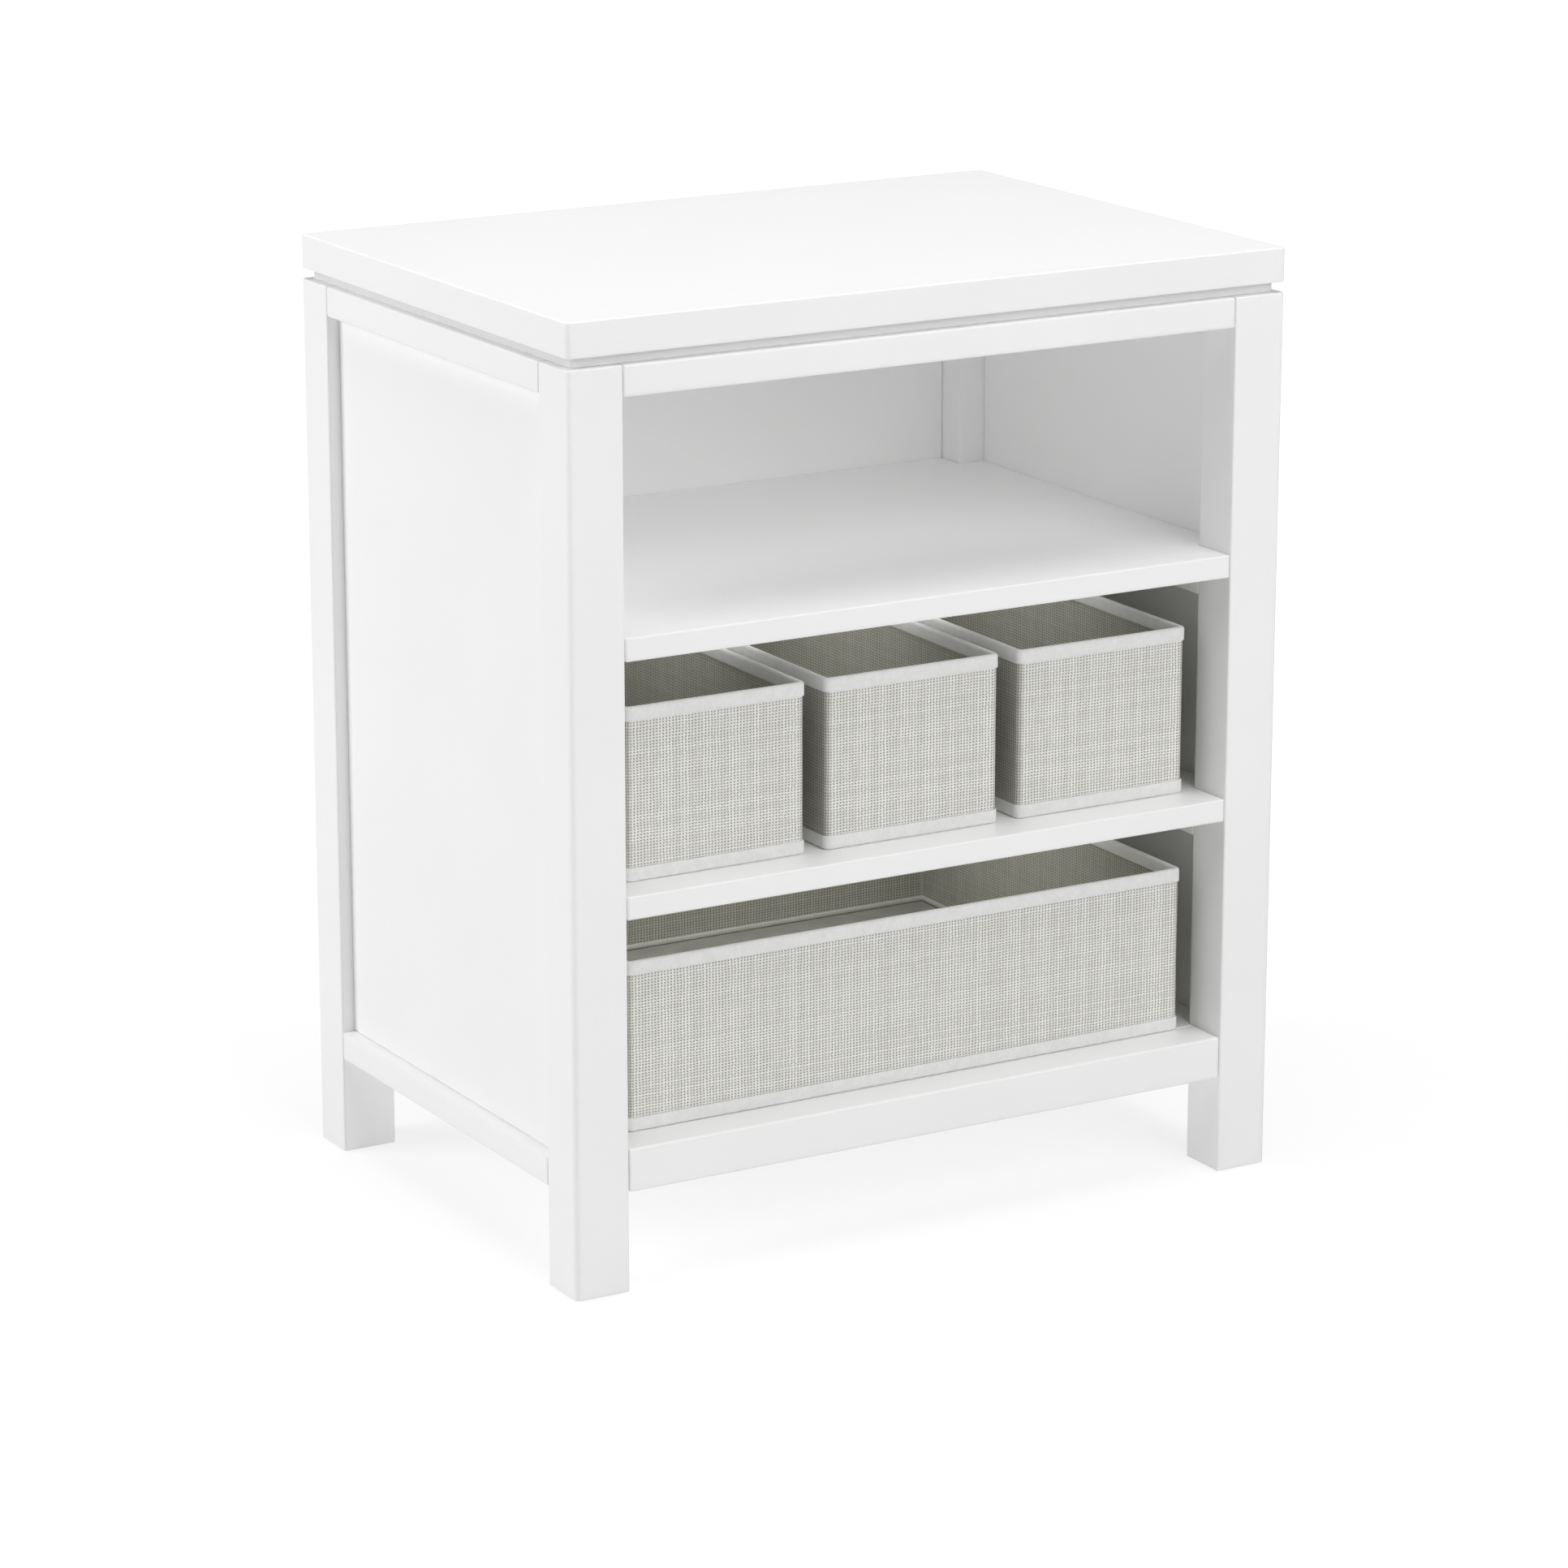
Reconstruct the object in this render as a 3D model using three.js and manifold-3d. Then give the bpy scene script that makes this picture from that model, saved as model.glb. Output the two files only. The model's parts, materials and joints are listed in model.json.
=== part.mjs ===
// White painted nursery changing table: four square posts joined by rails, framed side and back
// panels, a thick top on a recessed spacer board, three shelves and four fabric bins.
// Millimetres, +Z up, the open front faces -Y, the origin is on the floor under the middle.
import * as THREE from 'three';
import { mergeVertices } from 'three/addons/utils/BufferGeometryUtils.js';
import Module from 'manifold-3d';

const wasm = await Module();
wasm.setup();

// ---- Driving dimensions -------------------------------------------------------------------
// Whole table
const tableWidth = 770;
const tableDepth = 540;
const tableHeight = 914;
const gap = 0.3;               // between faces that touch on the real table

// Posts
const postWidth = 56;
const postDepth = 54;
const postCornerRadius = 3.5;
const postEndEase = 2;

// Top and the spacer board that leaves a shadow line under it
const topThickness = 33;
const topCornerRadius = 3.5;
const topEdgeEase = 2;
const spacerThickness = 10;
const spacerInset = 8.5;

// Rails
const railDepth = 45;
const railEdgeRadius = 1.5;
const topRailHeight = 29;
const railFloorClearance = 98;
const frontBottomRailHeight = 42;
const sideBottomRailHeight = 28;
const tenonThickness = 12;
const tenonLength = 16;
const tenonShoulder = 8;       // rail left above and below each tenon

// Panels, set in grooves all round
const sidePanelInset = 13;
const sidePanelThickness = 14;
const backPanelInset = 12;
const backPanelThickness = 8;
const grooveDepth = 5;

// Shelves and the cleats under them
const shelfThickness = 22;
const shelfEdgeEase = 1.2;
const middleShelfTop = 381;
const upperShelfTop = 622.5;
const postNotchClearance = 0.5;
const cleatHeight = 27;

// Bins
const binSetback = 40;
const binSideGap = 21;
const binBetweenGap = 20;
const binBackGap = 4;
const binHeadroom = 54;
const binCornerRadius = 6;
const binWall = 3;
const bindingThickness = 1.2;
const bindingHeight = 13.5;
const baseBoardThickness = 8;
const baseBoardClearance = 0.5;

// Fixings
const dowelRadius = 4;
const dowelLength = 38;
const dowelEndClearance = 1;
const screwShankRadius = 2;
const screwHeadRadius = 4.2;
const screwHeadHeight = 3;
const topScrewLength = 50;
const topScrewInset = 36;
const topScrewSpacing = 300;
const cleatScrewLength = 32;
const counterboreDepth = 8;
const driveSlotWidth = 1.2;
const driveSlotDepth = 1.5;
const glideThickness = 1.5;
const glideRadius = 11;
const glideNailRadius = 1.5;
const glideNailLength = 14;

// ---- Places that follow from them ---------------------------------------------------------
const halfWidth = tableWidth / 2;
const halfDepth = tableDepth / 2;
const openingHalf = halfWidth - postWidth;
const postFrontInner = -halfDepth + postDepth;
const sideSpan = tableDepth - 2 * postDepth;
const panelInnerHalf = halfWidth - sidePanelInset - sidePanelThickness;
const backPanelInnerY = halfDepth - backPanelInset - backPanelThickness;
const topUnderside = tableHeight - topThickness;
const postTop = topUnderside - spacerThickness;
const postBottom = glideThickness;
const topRailUnderside = postTop - topRailHeight;
const bottomShelfTop = railFloorClearance + frontBottomRailHeight;
const sideRailTop = railFloorClearance + sideBottomRailHeight;
const bottomShelfThickness = frontBottomRailHeight - sideBottomRailHeight - gap;

// ---- Colours and finishes -----------------------------------------------------------------
const paint = { color: 0xf3f3f1, roughness: 0.42, metalness: 0 };
const weave = { color: 0xc9c6bc, roughness: 0.95, metalness: 0 };
const felt = { color: 0xd9d8d3, roughness: 0.95, metalness: 0 };
const lining = { color: 0x9c9a8e, roughness: 0.95, metalness: 0 };
const beech = { color: 0xd3ae7c, roughness: 0.7, metalness: 0 };
const zinc = { color: 0xb4b7ba, roughness: 0.35, metalness: 1 };
const nylon = { color: 0xdedfde, roughness: 0.6, metalness: 0 };

// ---- Solid helpers ------------------------------------------------------------------------
function toSolid(geometry) {
  const bare = geometry.clone();
  bare.deleteAttribute('normal');
  bare.deleteAttribute('uv');
  const merged = mergeVertices(bare, 1e-4);
  const vertProperties = new Float32Array(merged.attributes.position.array);
  const triVerts = new Uint32Array(merged.index.array);
  return new wasm.Manifold(new wasm.Mesh({ numProp: 3, vertProperties, triVerts }));
}

function toGeometry(solid) {
  const mesh = solid.getMesh();
  const indexed = new THREE.BufferGeometry();
  indexed.setAttribute('position', new THREE.BufferAttribute(mesh.vertProperties, 3));
  indexed.setIndex(new THREE.BufferAttribute(mesh.triVerts, 1));
  const flat = indexed.toNonIndexed();
  flat.computeVertexNormals();
  return flat;
}

function cutAll(geometry, cutters) {
  let solid = toSolid(geometry);
  for (const cutter of cutters) {
    solid = solid.subtract(toSolid(cutter));
  }
  return toGeometry(solid);
}

// Low and high of a cut that starts just outside a face and goes a depth in, along a sign.
function cutSpan(face, sign, depth) {
  return [face - sign, face + sign * depth].sort((a, b) => a - b);
}

// Box between two corners, each given as [x, y, z].
function block(low, high) {
  const size = high.map((value, axis) => value - low[axis]);
  const geometry = new THREE.BoxGeometry(...size);
  geometry.translate(...low.map((value, axis) => value + size[axis] / 2));
  return geometry;
}

// Outline of a rectangle centred on the origin, with round corners.
function roundedRectangle(width, height, radius) {
  const x = width / 2;
  const y = height / 2;
  const shape = new THREE.Shape();
  shape.moveTo(-x + radius, -y);
  shape.absarc(x - radius, -y + radius, radius, -Math.PI / 2, 0);
  shape.absarc(x - radius, y - radius, radius, 0, Math.PI / 2);
  shape.absarc(-x + radius, y - radius, radius, Math.PI / 2, Math.PI);
  shape.absarc(-x + radius, -y + radius, radius, Math.PI, Math.PI * 1.5);
  return shape;
}

// Upright prism on an outline, its bottom at z = 0, with both rims eased where ease is above 0.
function prism(outline, height, ease = 0, curveSegments = 3) {
  const geometry = new THREE.ExtrudeGeometry(outline, {
    depth: height - 2 * ease,
    curveSegments,
    bevelEnabled: ease > 0,
    bevelThickness: ease,
    bevelSize: ease,
    bevelOffset: -ease,
    bevelSegments: 2,
  });
  return geometry.translate(0, 0, ease);
}

// Cylinder along Z standing on z = 0.
function rod(radius, length, sides = 12) {
  const geometry = new THREE.CylinderGeometry(radius, radius, length, sides);
  geometry.rotateX(Math.PI / 2);
  return geometry.translate(0, 0, length / 2);
}

function meshOf(name, geometry, finish, position) {
  const mesh = new THREE.Mesh(geometry, new THREE.MeshStandardMaterial(finish));
  mesh.name = name;
  mesh.position.set(...position);
  return mesh;
}

const sides = [['left', -1], ['right', 1]];
const ends = [['front', -1], ['rear', 1]];
const carcass = new THREE.Group();

// ---- Top and spacer board -----------------------------------------------------------------
// Four screws per table come up through the side top rails and the spacer into the top.
const topScrewX = halfWidth - topScrewInset;
const topScrewHeadZ = topRailUnderside + counterboreDepth - screwHeadHeight;
const topScrewTipZ = topScrewHeadZ + screwHeadHeight + topScrewLength;
const topScrewPlaces = [];
for (const [sideName, sideSign] of sides) {
  for (const [endName, endSign] of ends) {
    const place = [sideSign * topScrewX, endSign * topScrewSpacing / 2];
    topScrewPlaces.push({ name: `top_screw_${endName}_${sideName}`, sideSign, place });
  }
}

// Clearance holes for the top screws, from one height to another in a piece's own frame.
function topScrewHoles(fromZ, toZ, places, origin) {
  return places.map(({ place }) => {
    const hole = rod(screwShankRadius + gap, toZ - fromZ);
    return hole.translate(place[0] - origin[0], place[1] - origin[1], fromZ - origin[2]);
  });
}

const topOutline = roundedRectangle(tableWidth, tableDepth, topCornerRadius);
const topOrigin = [0, 0, topUnderside];
const topHoles = topScrewHoles(topUnderside - 1, topScrewTipZ + gap, topScrewPlaces, topOrigin);
const topBody = cutAll(prism(topOutline, topThickness, topEdgeEase), topHoles);
carcass.add(meshOf('top_slab', topBody, paint, topOrigin));

const spacerOutline = roundedRectangle(
  tableWidth - 2 * spacerInset,
  tableDepth - 2 * spacerInset,
  topCornerRadius,
);
const spacerOrigin = [0, 0, postTop + gap];
const spacerHeight = spacerThickness - 2 * gap;
const spacerHoles = topScrewHoles(postTop, topUnderside, topScrewPlaces, spacerOrigin);
const spacerBody = cutAll(prism(spacerOutline, spacerHeight), spacerHoles);
carcass.add(meshOf('top_spacer', spacerBody, paint, spacerOrigin));

// ---- Rails --------------------------------------------------------------------------------
// Every rail is a length of planed stock with eased long edges. Side rails end in tenons,
// front and back rails are drilled for dowels.
const dowelDepth = dowelLength / 2 + dowelEndClearance;
const railCentreInset = railDepth / 2;
const longRailLength = 2 * openingHalf - 2 * gap;
const sideRailLength = sideSpan - 2 * gap;

// Stock along X, centred in X and Y, its underside at z = 0.
function railStock(length, height) {
  const section = roundedRectangle(railDepth, height, railEdgeRadius);
  const geometry = prism(section, length, 0, 2);
  geometry.rotateX(Math.PI / 2);
  geometry.rotateZ(Math.PI / 2);
  return geometry.translate(-length / 2, 0, height / 2);
}

// Groove along the top or the underside of a rail, for the edge of a panel.
function railGroove(length, centreY, thickness, height, onTop) {
  const low = onTop ? height - grooveDepth - gap : -1;
  const high = onTop ? height + 1 : grooveDepth + gap;
  const half = thickness / 2 + gap;
  return block([-length / 2 - 1, centreY - half, low], [length / 2 + 1, centreY + half, high]);
}

const frontRailY = -halfDepth + railCentreInset;
const backRailY = halfDepth - railCentreInset;
const backGrooveY = halfDepth - backPanelInset - backPanelThickness / 2 - backRailY;
const longRails = [
  ['rail_top_front', frontRailY, topRailUnderside, topRailHeight, null],
  ['rail_top_back', backRailY, topRailUnderside, topRailHeight, 'under'],
  ['rail_bottom_front', frontRailY, railFloorClearance, frontBottomRailHeight, null],
  ['rail_bottom_back', backRailY, railFloorClearance, sideBottomRailHeight, 'over'],
];

for (const [name, y, z, height, groove] of longRails) {
  const cutters = [];
  for (const [, sign] of sides) {
    const hole = rod(dowelRadius + gap, dowelDepth + 1).rotateY(-sign * Math.PI / 2);
    cutters.push(hole.translate(sign * (longRailLength / 2 + 1), 0, height / 2));
  }
  if (groove) {
    const onTop = groove === 'over';
    cutters.push(railGroove(longRailLength, backGrooveY, backPanelThickness, height, onTop));
  }
  const stock = railStock(longRailLength, height);
  carcass.add(meshOf(name, cutAll(stock, cutters), paint, [0, y, z]));
  for (const [sideName, sign] of sides) {
    const dowel = dowelBody();
    dowel.rotateY(Math.PI / 2);
    const x = sign * openingHalf - dowelLength / 2;
    const dowelName = `${name.replace('rail', 'dowel')}_${sideName}`;
    carcass.add(meshOf(dowelName, dowel, beech, [x, y, z + height / 2]));
  }
}

// Fluted dowel along Z with tapered ends.
function dowelBody() {
  const taper = 1.5;
  const fluteDepth = 0.4;
  const flutes = 8;
  const outline = new THREE.Shape();
  for (let step = 0; step < 2 * flutes; step += 1) {
    const radius = step % 2 ? dowelRadius - fluteDepth : dowelRadius;
    const angle = (step * Math.PI) / flutes;
    const point = [radius * Math.cos(angle), radius * Math.sin(angle)];
    if (step === 0) outline.moveTo(...point);
    else outline.lineTo(...point);
  }
  const geometry = new THREE.ExtrudeGeometry(outline, {
    depth: dowelLength - 2 * taper,
    bevelEnabled: true,
    bevelThickness: taper,
    bevelSize: 1,
    bevelOffset: -1,
    bevelSegments: 1,
  });
  return geometry.translate(0, 0, taper);
}

// Side rails run along Y; their stock is modelled along X and turned.
const sideRailX = halfWidth - railCentreInset;
const sideGrooveY = railDepth / 2 - sidePanelInset - sidePanelThickness / 2;
const sideRails = [
  ['rail_top', topRailUnderside, topRailHeight, false],
  ['rail_bottom', railFloorClearance, sideBottomRailHeight, true],
];

function tenonBlock(height, grow) {
  const reach = sideRailLength / 2 + tenonLength;
  const half = tenonThickness / 2 + grow;
  const low = tenonShoulder - grow;
  const high = height - tenonShoulder + grow;
  return block([-reach - grow, -half, low], [reach + grow, half, high]);
}

for (const [sideName, sign] of sides) {
  for (const [prefix, z, height, onTop] of sideRails) {
    const turn = sign > 0 ? Math.PI / 2 : -Math.PI / 2;
    const stock = toSolid(railStock(sideRailLength, height)).add(toSolid(tenonBlock(height, 0)));
    const groove = railGroove(sideRailLength, -sideGrooveY, sidePanelThickness, height, onTop);
    const cutters = [groove];
    if (!onTop) {
      for (const [, endSign] of ends) {
        const across = topScrewInset - railCentreInset;
        const along = sign * endSign * topScrewSpacing / 2;
        const bore = rod(screwHeadRadius + 2 * gap, counterboreDepth + 1);
        cutters.push(bore.translate(along, across, -1));
        cutters.push(rod(screwShankRadius + gap, height + 2).translate(along, across, -1));
      }
    }
    const body = cutAll(toGeometry(stock), cutters).rotateZ(turn);
    carcass.add(meshOf(`${prefix}_${sideName}`, body, paint, [sign * sideRailX, 0, z]));
  }
}

// ---- Posts --------------------------------------------------------------------------------
const postCentreX = halfWidth - postWidth / 2;
const postCentreY = halfDepth - postDepth / 2;
const panelLowZ = sideRailTop - grooveDepth;
const panelHighZ = topRailUnderside + grooveDepth;

for (const [endName, endSign] of ends) {
  for (const [sideName, sideSign] of sides) {
    const centre = [sideSign * postCentreX, endSign * postCentreY, 0];
    const outline = roundedRectangle(postWidth, postDepth, postCornerRadius);
    const body = prism(outline, postTop - postBottom, postEndEase).translate(0, 0, postBottom);
    const cutters = [];
    for (const [, z, height] of sideRails) {
      const mortise = tenonBlock(height, gap).rotateZ(Math.PI / 2);
      cutters.push(mortise.translate(sideSign * sideRailX - centre[0], -centre[1], z));
    }
    const panelX = sideSign * (halfWidth - sidePanelInset - sidePanelThickness / 2) - centre[0];
    const innerY = endSign * (halfDepth - postDepth) - centre[1];
    const panelHalf = sidePanelThickness / 2 + gap;
    const grooveY = cutSpan(innerY, endSign, grooveDepth + gap);
    cutters.push(block(
      [panelX - panelHalf, grooveY[0], panelLowZ - gap],
      [panelX + panelHalf, grooveY[1], panelHighZ + gap],
    ));
    const innerX = sideSign * openingHalf - centre[0];
    if (endName === 'rear') {
      const panelY = halfDepth - backPanelInset - backPanelThickness / 2 - centre[1];
      const half = backPanelThickness / 2 + gap;
      const grooveX = cutSpan(innerX, sideSign, grooveDepth + gap);
      cutters.push(block(
        [grooveX[0], panelY - half, panelLowZ - gap],
        [grooveX[1], panelY + half, panelHighZ + gap],
      ));
    }
    for (const [, y, z, height] of longRails.filter((rail) => Math.sign(rail[1]) === endSign)) {
      const hole = rod(dowelRadius + gap, dowelDepth + 1).rotateY(sideSign * Math.PI / 2);
      cutters.push(hole.translate(innerX - sideSign, y - centre[1], z + height / 2));
    }
    const nailHole = rod(glideNailRadius + gap, glideNailLength + gap + 1);
    cutters.push(nailHole.translate(0, 0, postBottom - 1));
    carcass.add(meshOf(`post_${endName}_${sideName}`, cutAll(body, cutters), paint, centre));
    carcass.add(meshOf(`foot_glide_${endName}_${sideName}`, glideBody(), nylon, centre));
  }
}

// Nail-in glide: a low dome under the foot with its nail standing on it.
function glideBody() {
  const rim = glideThickness - gap;
  const profile = [
    new THREE.Vector2(0, 0),
    new THREE.Vector2(glideRadius - 1, 0),
    new THREE.Vector2(glideRadius, 0.6),
    new THREE.Vector2(glideRadius, rim),
    new THREE.Vector2(glideNailRadius, rim),
    new THREE.Vector2(glideNailRadius, glideThickness + glideNailLength - 3),
    new THREE.Vector2(0, glideThickness + glideNailLength),
  ];
  return new THREE.LatheGeometry(profile, 16).rotateX(Math.PI / 2);
}

// ---- Panels -------------------------------------------------------------------------------
const sidePanelDepth = sideSpan + 2 * grooveDepth;
const panelHeight = panelHighZ - panelLowZ;
const panelCentreZ = (panelLowZ + panelHighZ) / 2;
for (const [sideName, sign] of sides) {
  const panel = new THREE.BoxGeometry(sidePanelThickness, sidePanelDepth, panelHeight);
  const x = sign * (halfWidth - sidePanelInset - sidePanelThickness / 2);
  carcass.add(meshOf(`side_panel_${sideName}`, panel, paint, [x, 0, panelCentreZ]));
}
const backPanelWidth = 2 * (openingHalf + grooveDepth);
const backPanel = new THREE.BoxGeometry(backPanelWidth, backPanelThickness, panelHeight);
const backPanelY = backPanelInnerY + backPanelThickness / 2;
carcass.add(meshOf('back_panel', backPanel, paint, [0, backPanelY, panelCentreZ]));

// ---- Shelves and cleats -------------------------------------------------------------------
// Each shelf is one board notched round the four posts, wide between them to meet the panels.
function shelfOutline(frontY) {
  const narrow = openingHalf - postNotchClearance;
  const wide = panelInnerHalf - gap;
  const frontNotch = postFrontInner + postNotchClearance;
  const rearNotch = -postFrontInner - postNotchClearance;
  const backY = backPanelInnerY - gap;
  const right = [[narrow, frontY], [narrow, frontNotch], [wide, frontNotch], [wide, rearNotch],
    [narrow, rearNotch], [narrow, backY]];
  const left = right.map(([x, y]) => [-x, y]).reverse();
  return new THREE.Shape([...right, ...left].map((point) => new THREE.Vector2(...point)));
}

const cleatThickness = panelInnerHalf - openingHalf - gap;
const cleatX = panelInnerHalf - gap - cleatThickness / 2;
const cleatScrewTipAbove = cleatScrewLength - (cleatHeight - counterboreDepth) - gap;

for (const [name, topZ] of [['upper', upperShelfTop], ['middle', middleShelfTop]]) {
  const underside = topZ - shelfThickness;
  const holes = [];
  for (const [sideName, sign] of sides) {
    const hole = rod(screwShankRadius + gap, cleatScrewTipAbove + gap + 1);
    holes.push(hole.translate(sign * cleatX, 0, -1));
    const section = roundedRectangle(cleatThickness, cleatHeight, railEdgeRadius);
    const stock = prism(section, sideRailLength, 0, 2).rotateX(Math.PI / 2);
    stock.translate(0, sideRailLength / 2, cleatHeight / 2);
    const bore = rod(screwHeadRadius + 2 * gap, counterboreDepth + 1).translate(0, 0, -1);
    const shank = rod(screwShankRadius + gap, cleatHeight + 2).translate(0, 0, -1);
    const cleatZ = underside - gap - cleatHeight;
    const cleat = cutAll(stock, [bore, shank]);
    carcass.add(meshOf(`cleat_${name}_${sideName}`, cleat, paint, [sign * cleatX, 0, cleatZ]));
    const screwAt = [sign * cleatX, 0, cleatZ + counterboreDepth - screwHeadHeight];
    const screw = screwBody(cleatScrewLength);
    carcass.add(meshOf(`cleat_screw_${name}_${sideName}`, screw, zinc, screwAt));
  }
  const board = prism(shelfOutline(-halfDepth), shelfThickness, shelfEdgeEase);
  carcass.add(meshOf(`shelf_${name}`, cutAll(board, holes), paint, [0, 0, underside]));
}

const bottomShelfFront = -halfDepth + railDepth + gap;
const bottomBoard = prism(shelfOutline(bottomShelfFront), bottomShelfThickness);
carcass.add(meshOf('shelf_bottom', bottomBoard, paint, [0, 0, sideRailTop + gap]));

for (const { name, place } of topScrewPlaces) {
  carcass.add(meshOf(name, screwBody(topScrewLength), zinc, [...place, topScrewHeadZ]));
}

// Pan-head screw pointing up, its head standing on z = 0 with a cross recess in its face.
function screwBody(length) {
  const tip = 4;
  const profile = [
    new THREE.Vector2(0, 0),
    new THREE.Vector2(screwHeadRadius - 1, 0),
    new THREE.Vector2(screwHeadRadius, 1),
    new THREE.Vector2(screwHeadRadius, screwHeadHeight),
    new THREE.Vector2(screwShankRadius, screwHeadHeight),
    new THREE.Vector2(screwShankRadius, screwHeadHeight + length - tip),
    new THREE.Vector2(0, screwHeadHeight + length),
  ];
  const body = new THREE.LatheGeometry(profile, 12).rotateX(Math.PI / 2);
  const reach = screwHeadRadius * 0.6;
  const half = driveSlotWidth / 2;
  return cutAll(body, [
    block([-reach, -half, -1], [reach, half, driveSlotDepth]),
    block([-half, -reach, -1], [half, reach, driveSlotDepth]),
  ]);
}

// ---- Fabric bins --------------------------------------------------------------------------
// Board-stiffened woven walls and bottom, a folded felt binding over the rim, a second band
// round the foot, and a covered board that lies on the bottom inside.
const binDepth = backPanelInnerY + halfDepth - binSetback - binBackGap;
const binCentreY = -halfDepth + binSetback + binDepth / 2;
const wideBinWidth = 2 * (openingHalf - binSideGap);
const smallBinWidth = (wideBinWidth - 2 * binBetweenGap) / 3;
const smallBinPitch = smallBinWidth + binBetweenGap;

// Rounded prism whose walls stand a given distance inside the bin's outermost face.
function binPrism(width, inset, low, high) {
  const radius = Math.max(binCornerRadius - inset, 1);
  const outline = roundedRectangle(width - 2 * inset, binDepth - 2 * inset, radius);
  return toSolid(prism(outline, high - low).translate(0, 0, low));
}

function addBin(name, centreX, shelfTop, shelfAbove, width) {
  const height = shelfAbove - shelfThickness - shelfTop - binHeadroom;
  const wallOuter = bindingThickness + gap;
  const wallInner = wallOuter + binWall;
  const rimInner = wallInner + gap + bindingThickness;
  const wallTop = height - bindingThickness - gap;
  const bin = new THREE.Group();
  bin.position.set(centreX, binCentreY, shelfTop + gap);

  const shell = binPrism(width, wallOuter, 0, wallTop)
    .subtract(binPrism(width, wallInner, binWall, height));
  bin.add(meshOf(`${name}_shell`, toGeometry(shell), weave, [0, 0, 0]));

  const bandLow = height - bindingHeight;
  const slotTop = height - bindingThickness;
  const slot = binPrism(width, wallOuter - gap, bandLow - 1, slotTop)
    .subtract(binPrism(width, wallInner + gap, bandLow - 2, height));
  const rim = binPrism(width, 0, bandLow, height)
    .subtract(binPrism(width, rimInner, bandLow - 1, height + 1))
    .subtract(slot);
  bin.add(meshOf(`${name}_rim_binding`, toGeometry(rim), felt, [0, 0, 0]));

  const foot = binPrism(width, 0, 0, bindingHeight)
    .subtract(binPrism(width, bindingThickness, -1, bindingHeight + 1));
  bin.add(meshOf(`${name}_foot_binding`, toGeometry(foot), felt, [0, 0, 0]));

  const boardLow = binWall + gap;
  const boardTop = boardLow + baseBoardThickness;
  const board = binPrism(width, wallInner + baseBoardClearance, boardLow, boardTop);
  bin.add(meshOf(`${name}_base_board`, toGeometry(board), lining, [0, 0, 0]));
  return bin;
}

const bins = new THREE.Group();
bins.add(addBin('bin_left', -smallBinPitch, middleShelfTop, upperShelfTop, smallBinWidth));
bins.add(addBin('bin_middle', 0, middleShelfTop, upperShelfTop, smallBinWidth));
bins.add(addBin('bin_right', smallBinPitch, middleShelfTop, upperShelfTop, smallBinWidth));
bins.add(addBin('bin_wide', 0, bottomShelfTop, middleShelfTop, wideBinWidth));

const table = new THREE.Group();
table.add(carcass);
table.add(bins);

export default table;
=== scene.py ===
import json
import math

import bmesh
import bpy
from mathutils import Matrix, Vector, noise

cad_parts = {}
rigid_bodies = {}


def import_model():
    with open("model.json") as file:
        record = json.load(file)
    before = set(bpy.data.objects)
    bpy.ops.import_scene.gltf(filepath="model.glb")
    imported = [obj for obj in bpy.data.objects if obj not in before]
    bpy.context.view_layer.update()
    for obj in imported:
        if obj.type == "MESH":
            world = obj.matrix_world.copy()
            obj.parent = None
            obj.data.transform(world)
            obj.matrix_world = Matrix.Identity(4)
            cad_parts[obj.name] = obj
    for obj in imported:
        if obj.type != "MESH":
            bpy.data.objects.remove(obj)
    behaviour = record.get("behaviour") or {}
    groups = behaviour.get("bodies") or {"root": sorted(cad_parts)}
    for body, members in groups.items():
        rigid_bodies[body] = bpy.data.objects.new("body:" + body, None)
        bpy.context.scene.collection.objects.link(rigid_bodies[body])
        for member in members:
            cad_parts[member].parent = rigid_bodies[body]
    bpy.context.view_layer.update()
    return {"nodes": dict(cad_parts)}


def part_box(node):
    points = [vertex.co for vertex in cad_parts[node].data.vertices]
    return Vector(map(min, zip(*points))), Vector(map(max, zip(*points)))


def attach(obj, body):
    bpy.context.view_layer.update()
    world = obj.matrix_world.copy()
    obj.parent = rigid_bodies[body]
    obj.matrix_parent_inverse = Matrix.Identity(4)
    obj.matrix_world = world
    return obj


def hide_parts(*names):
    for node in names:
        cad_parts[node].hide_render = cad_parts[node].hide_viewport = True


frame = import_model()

# ---- Table top ----------------------------------------------------------------------------
# The thick slab that the changing mat lies on. Solid board, its corners and edges rounded
# over with a router, sprayed with white satin lacquer, and screwed on from below.
slab_corner = 0.0045
slab_ease = 0.0013
ease_steps = 5
lacquer_margin = 0.0022
corner_share = 0.7
square_to_axis = 0.9999


def squared_block(low, high):
    """A block of board between two corners, its edges still sharp."""
    mesh = bmesh.new()
    mesh.verts.layers.float.new("edge")
    bmesh.ops.create_cube(mesh, size=1)
    bmesh.ops.scale(mesh, vec=high - low, verts=mesh.verts)
    bmesh.ops.translate(mesh, vec=(low + high) / 2, verts=mesh.verts)
    return mesh


def runs_along(edge, axis):
    run = edge.verts[1].co - edge.verts[0].co
    return abs(run[axis]) > square_to_axis * run.length


def round_over(mesh, edges, radius):
    bmesh.ops.bevel(mesh, geom=edges, offset=radius, offset_type="OFFSET", affect="EDGES",
                    segments=ease_steps, profile=0.5, material=-1)


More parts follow.
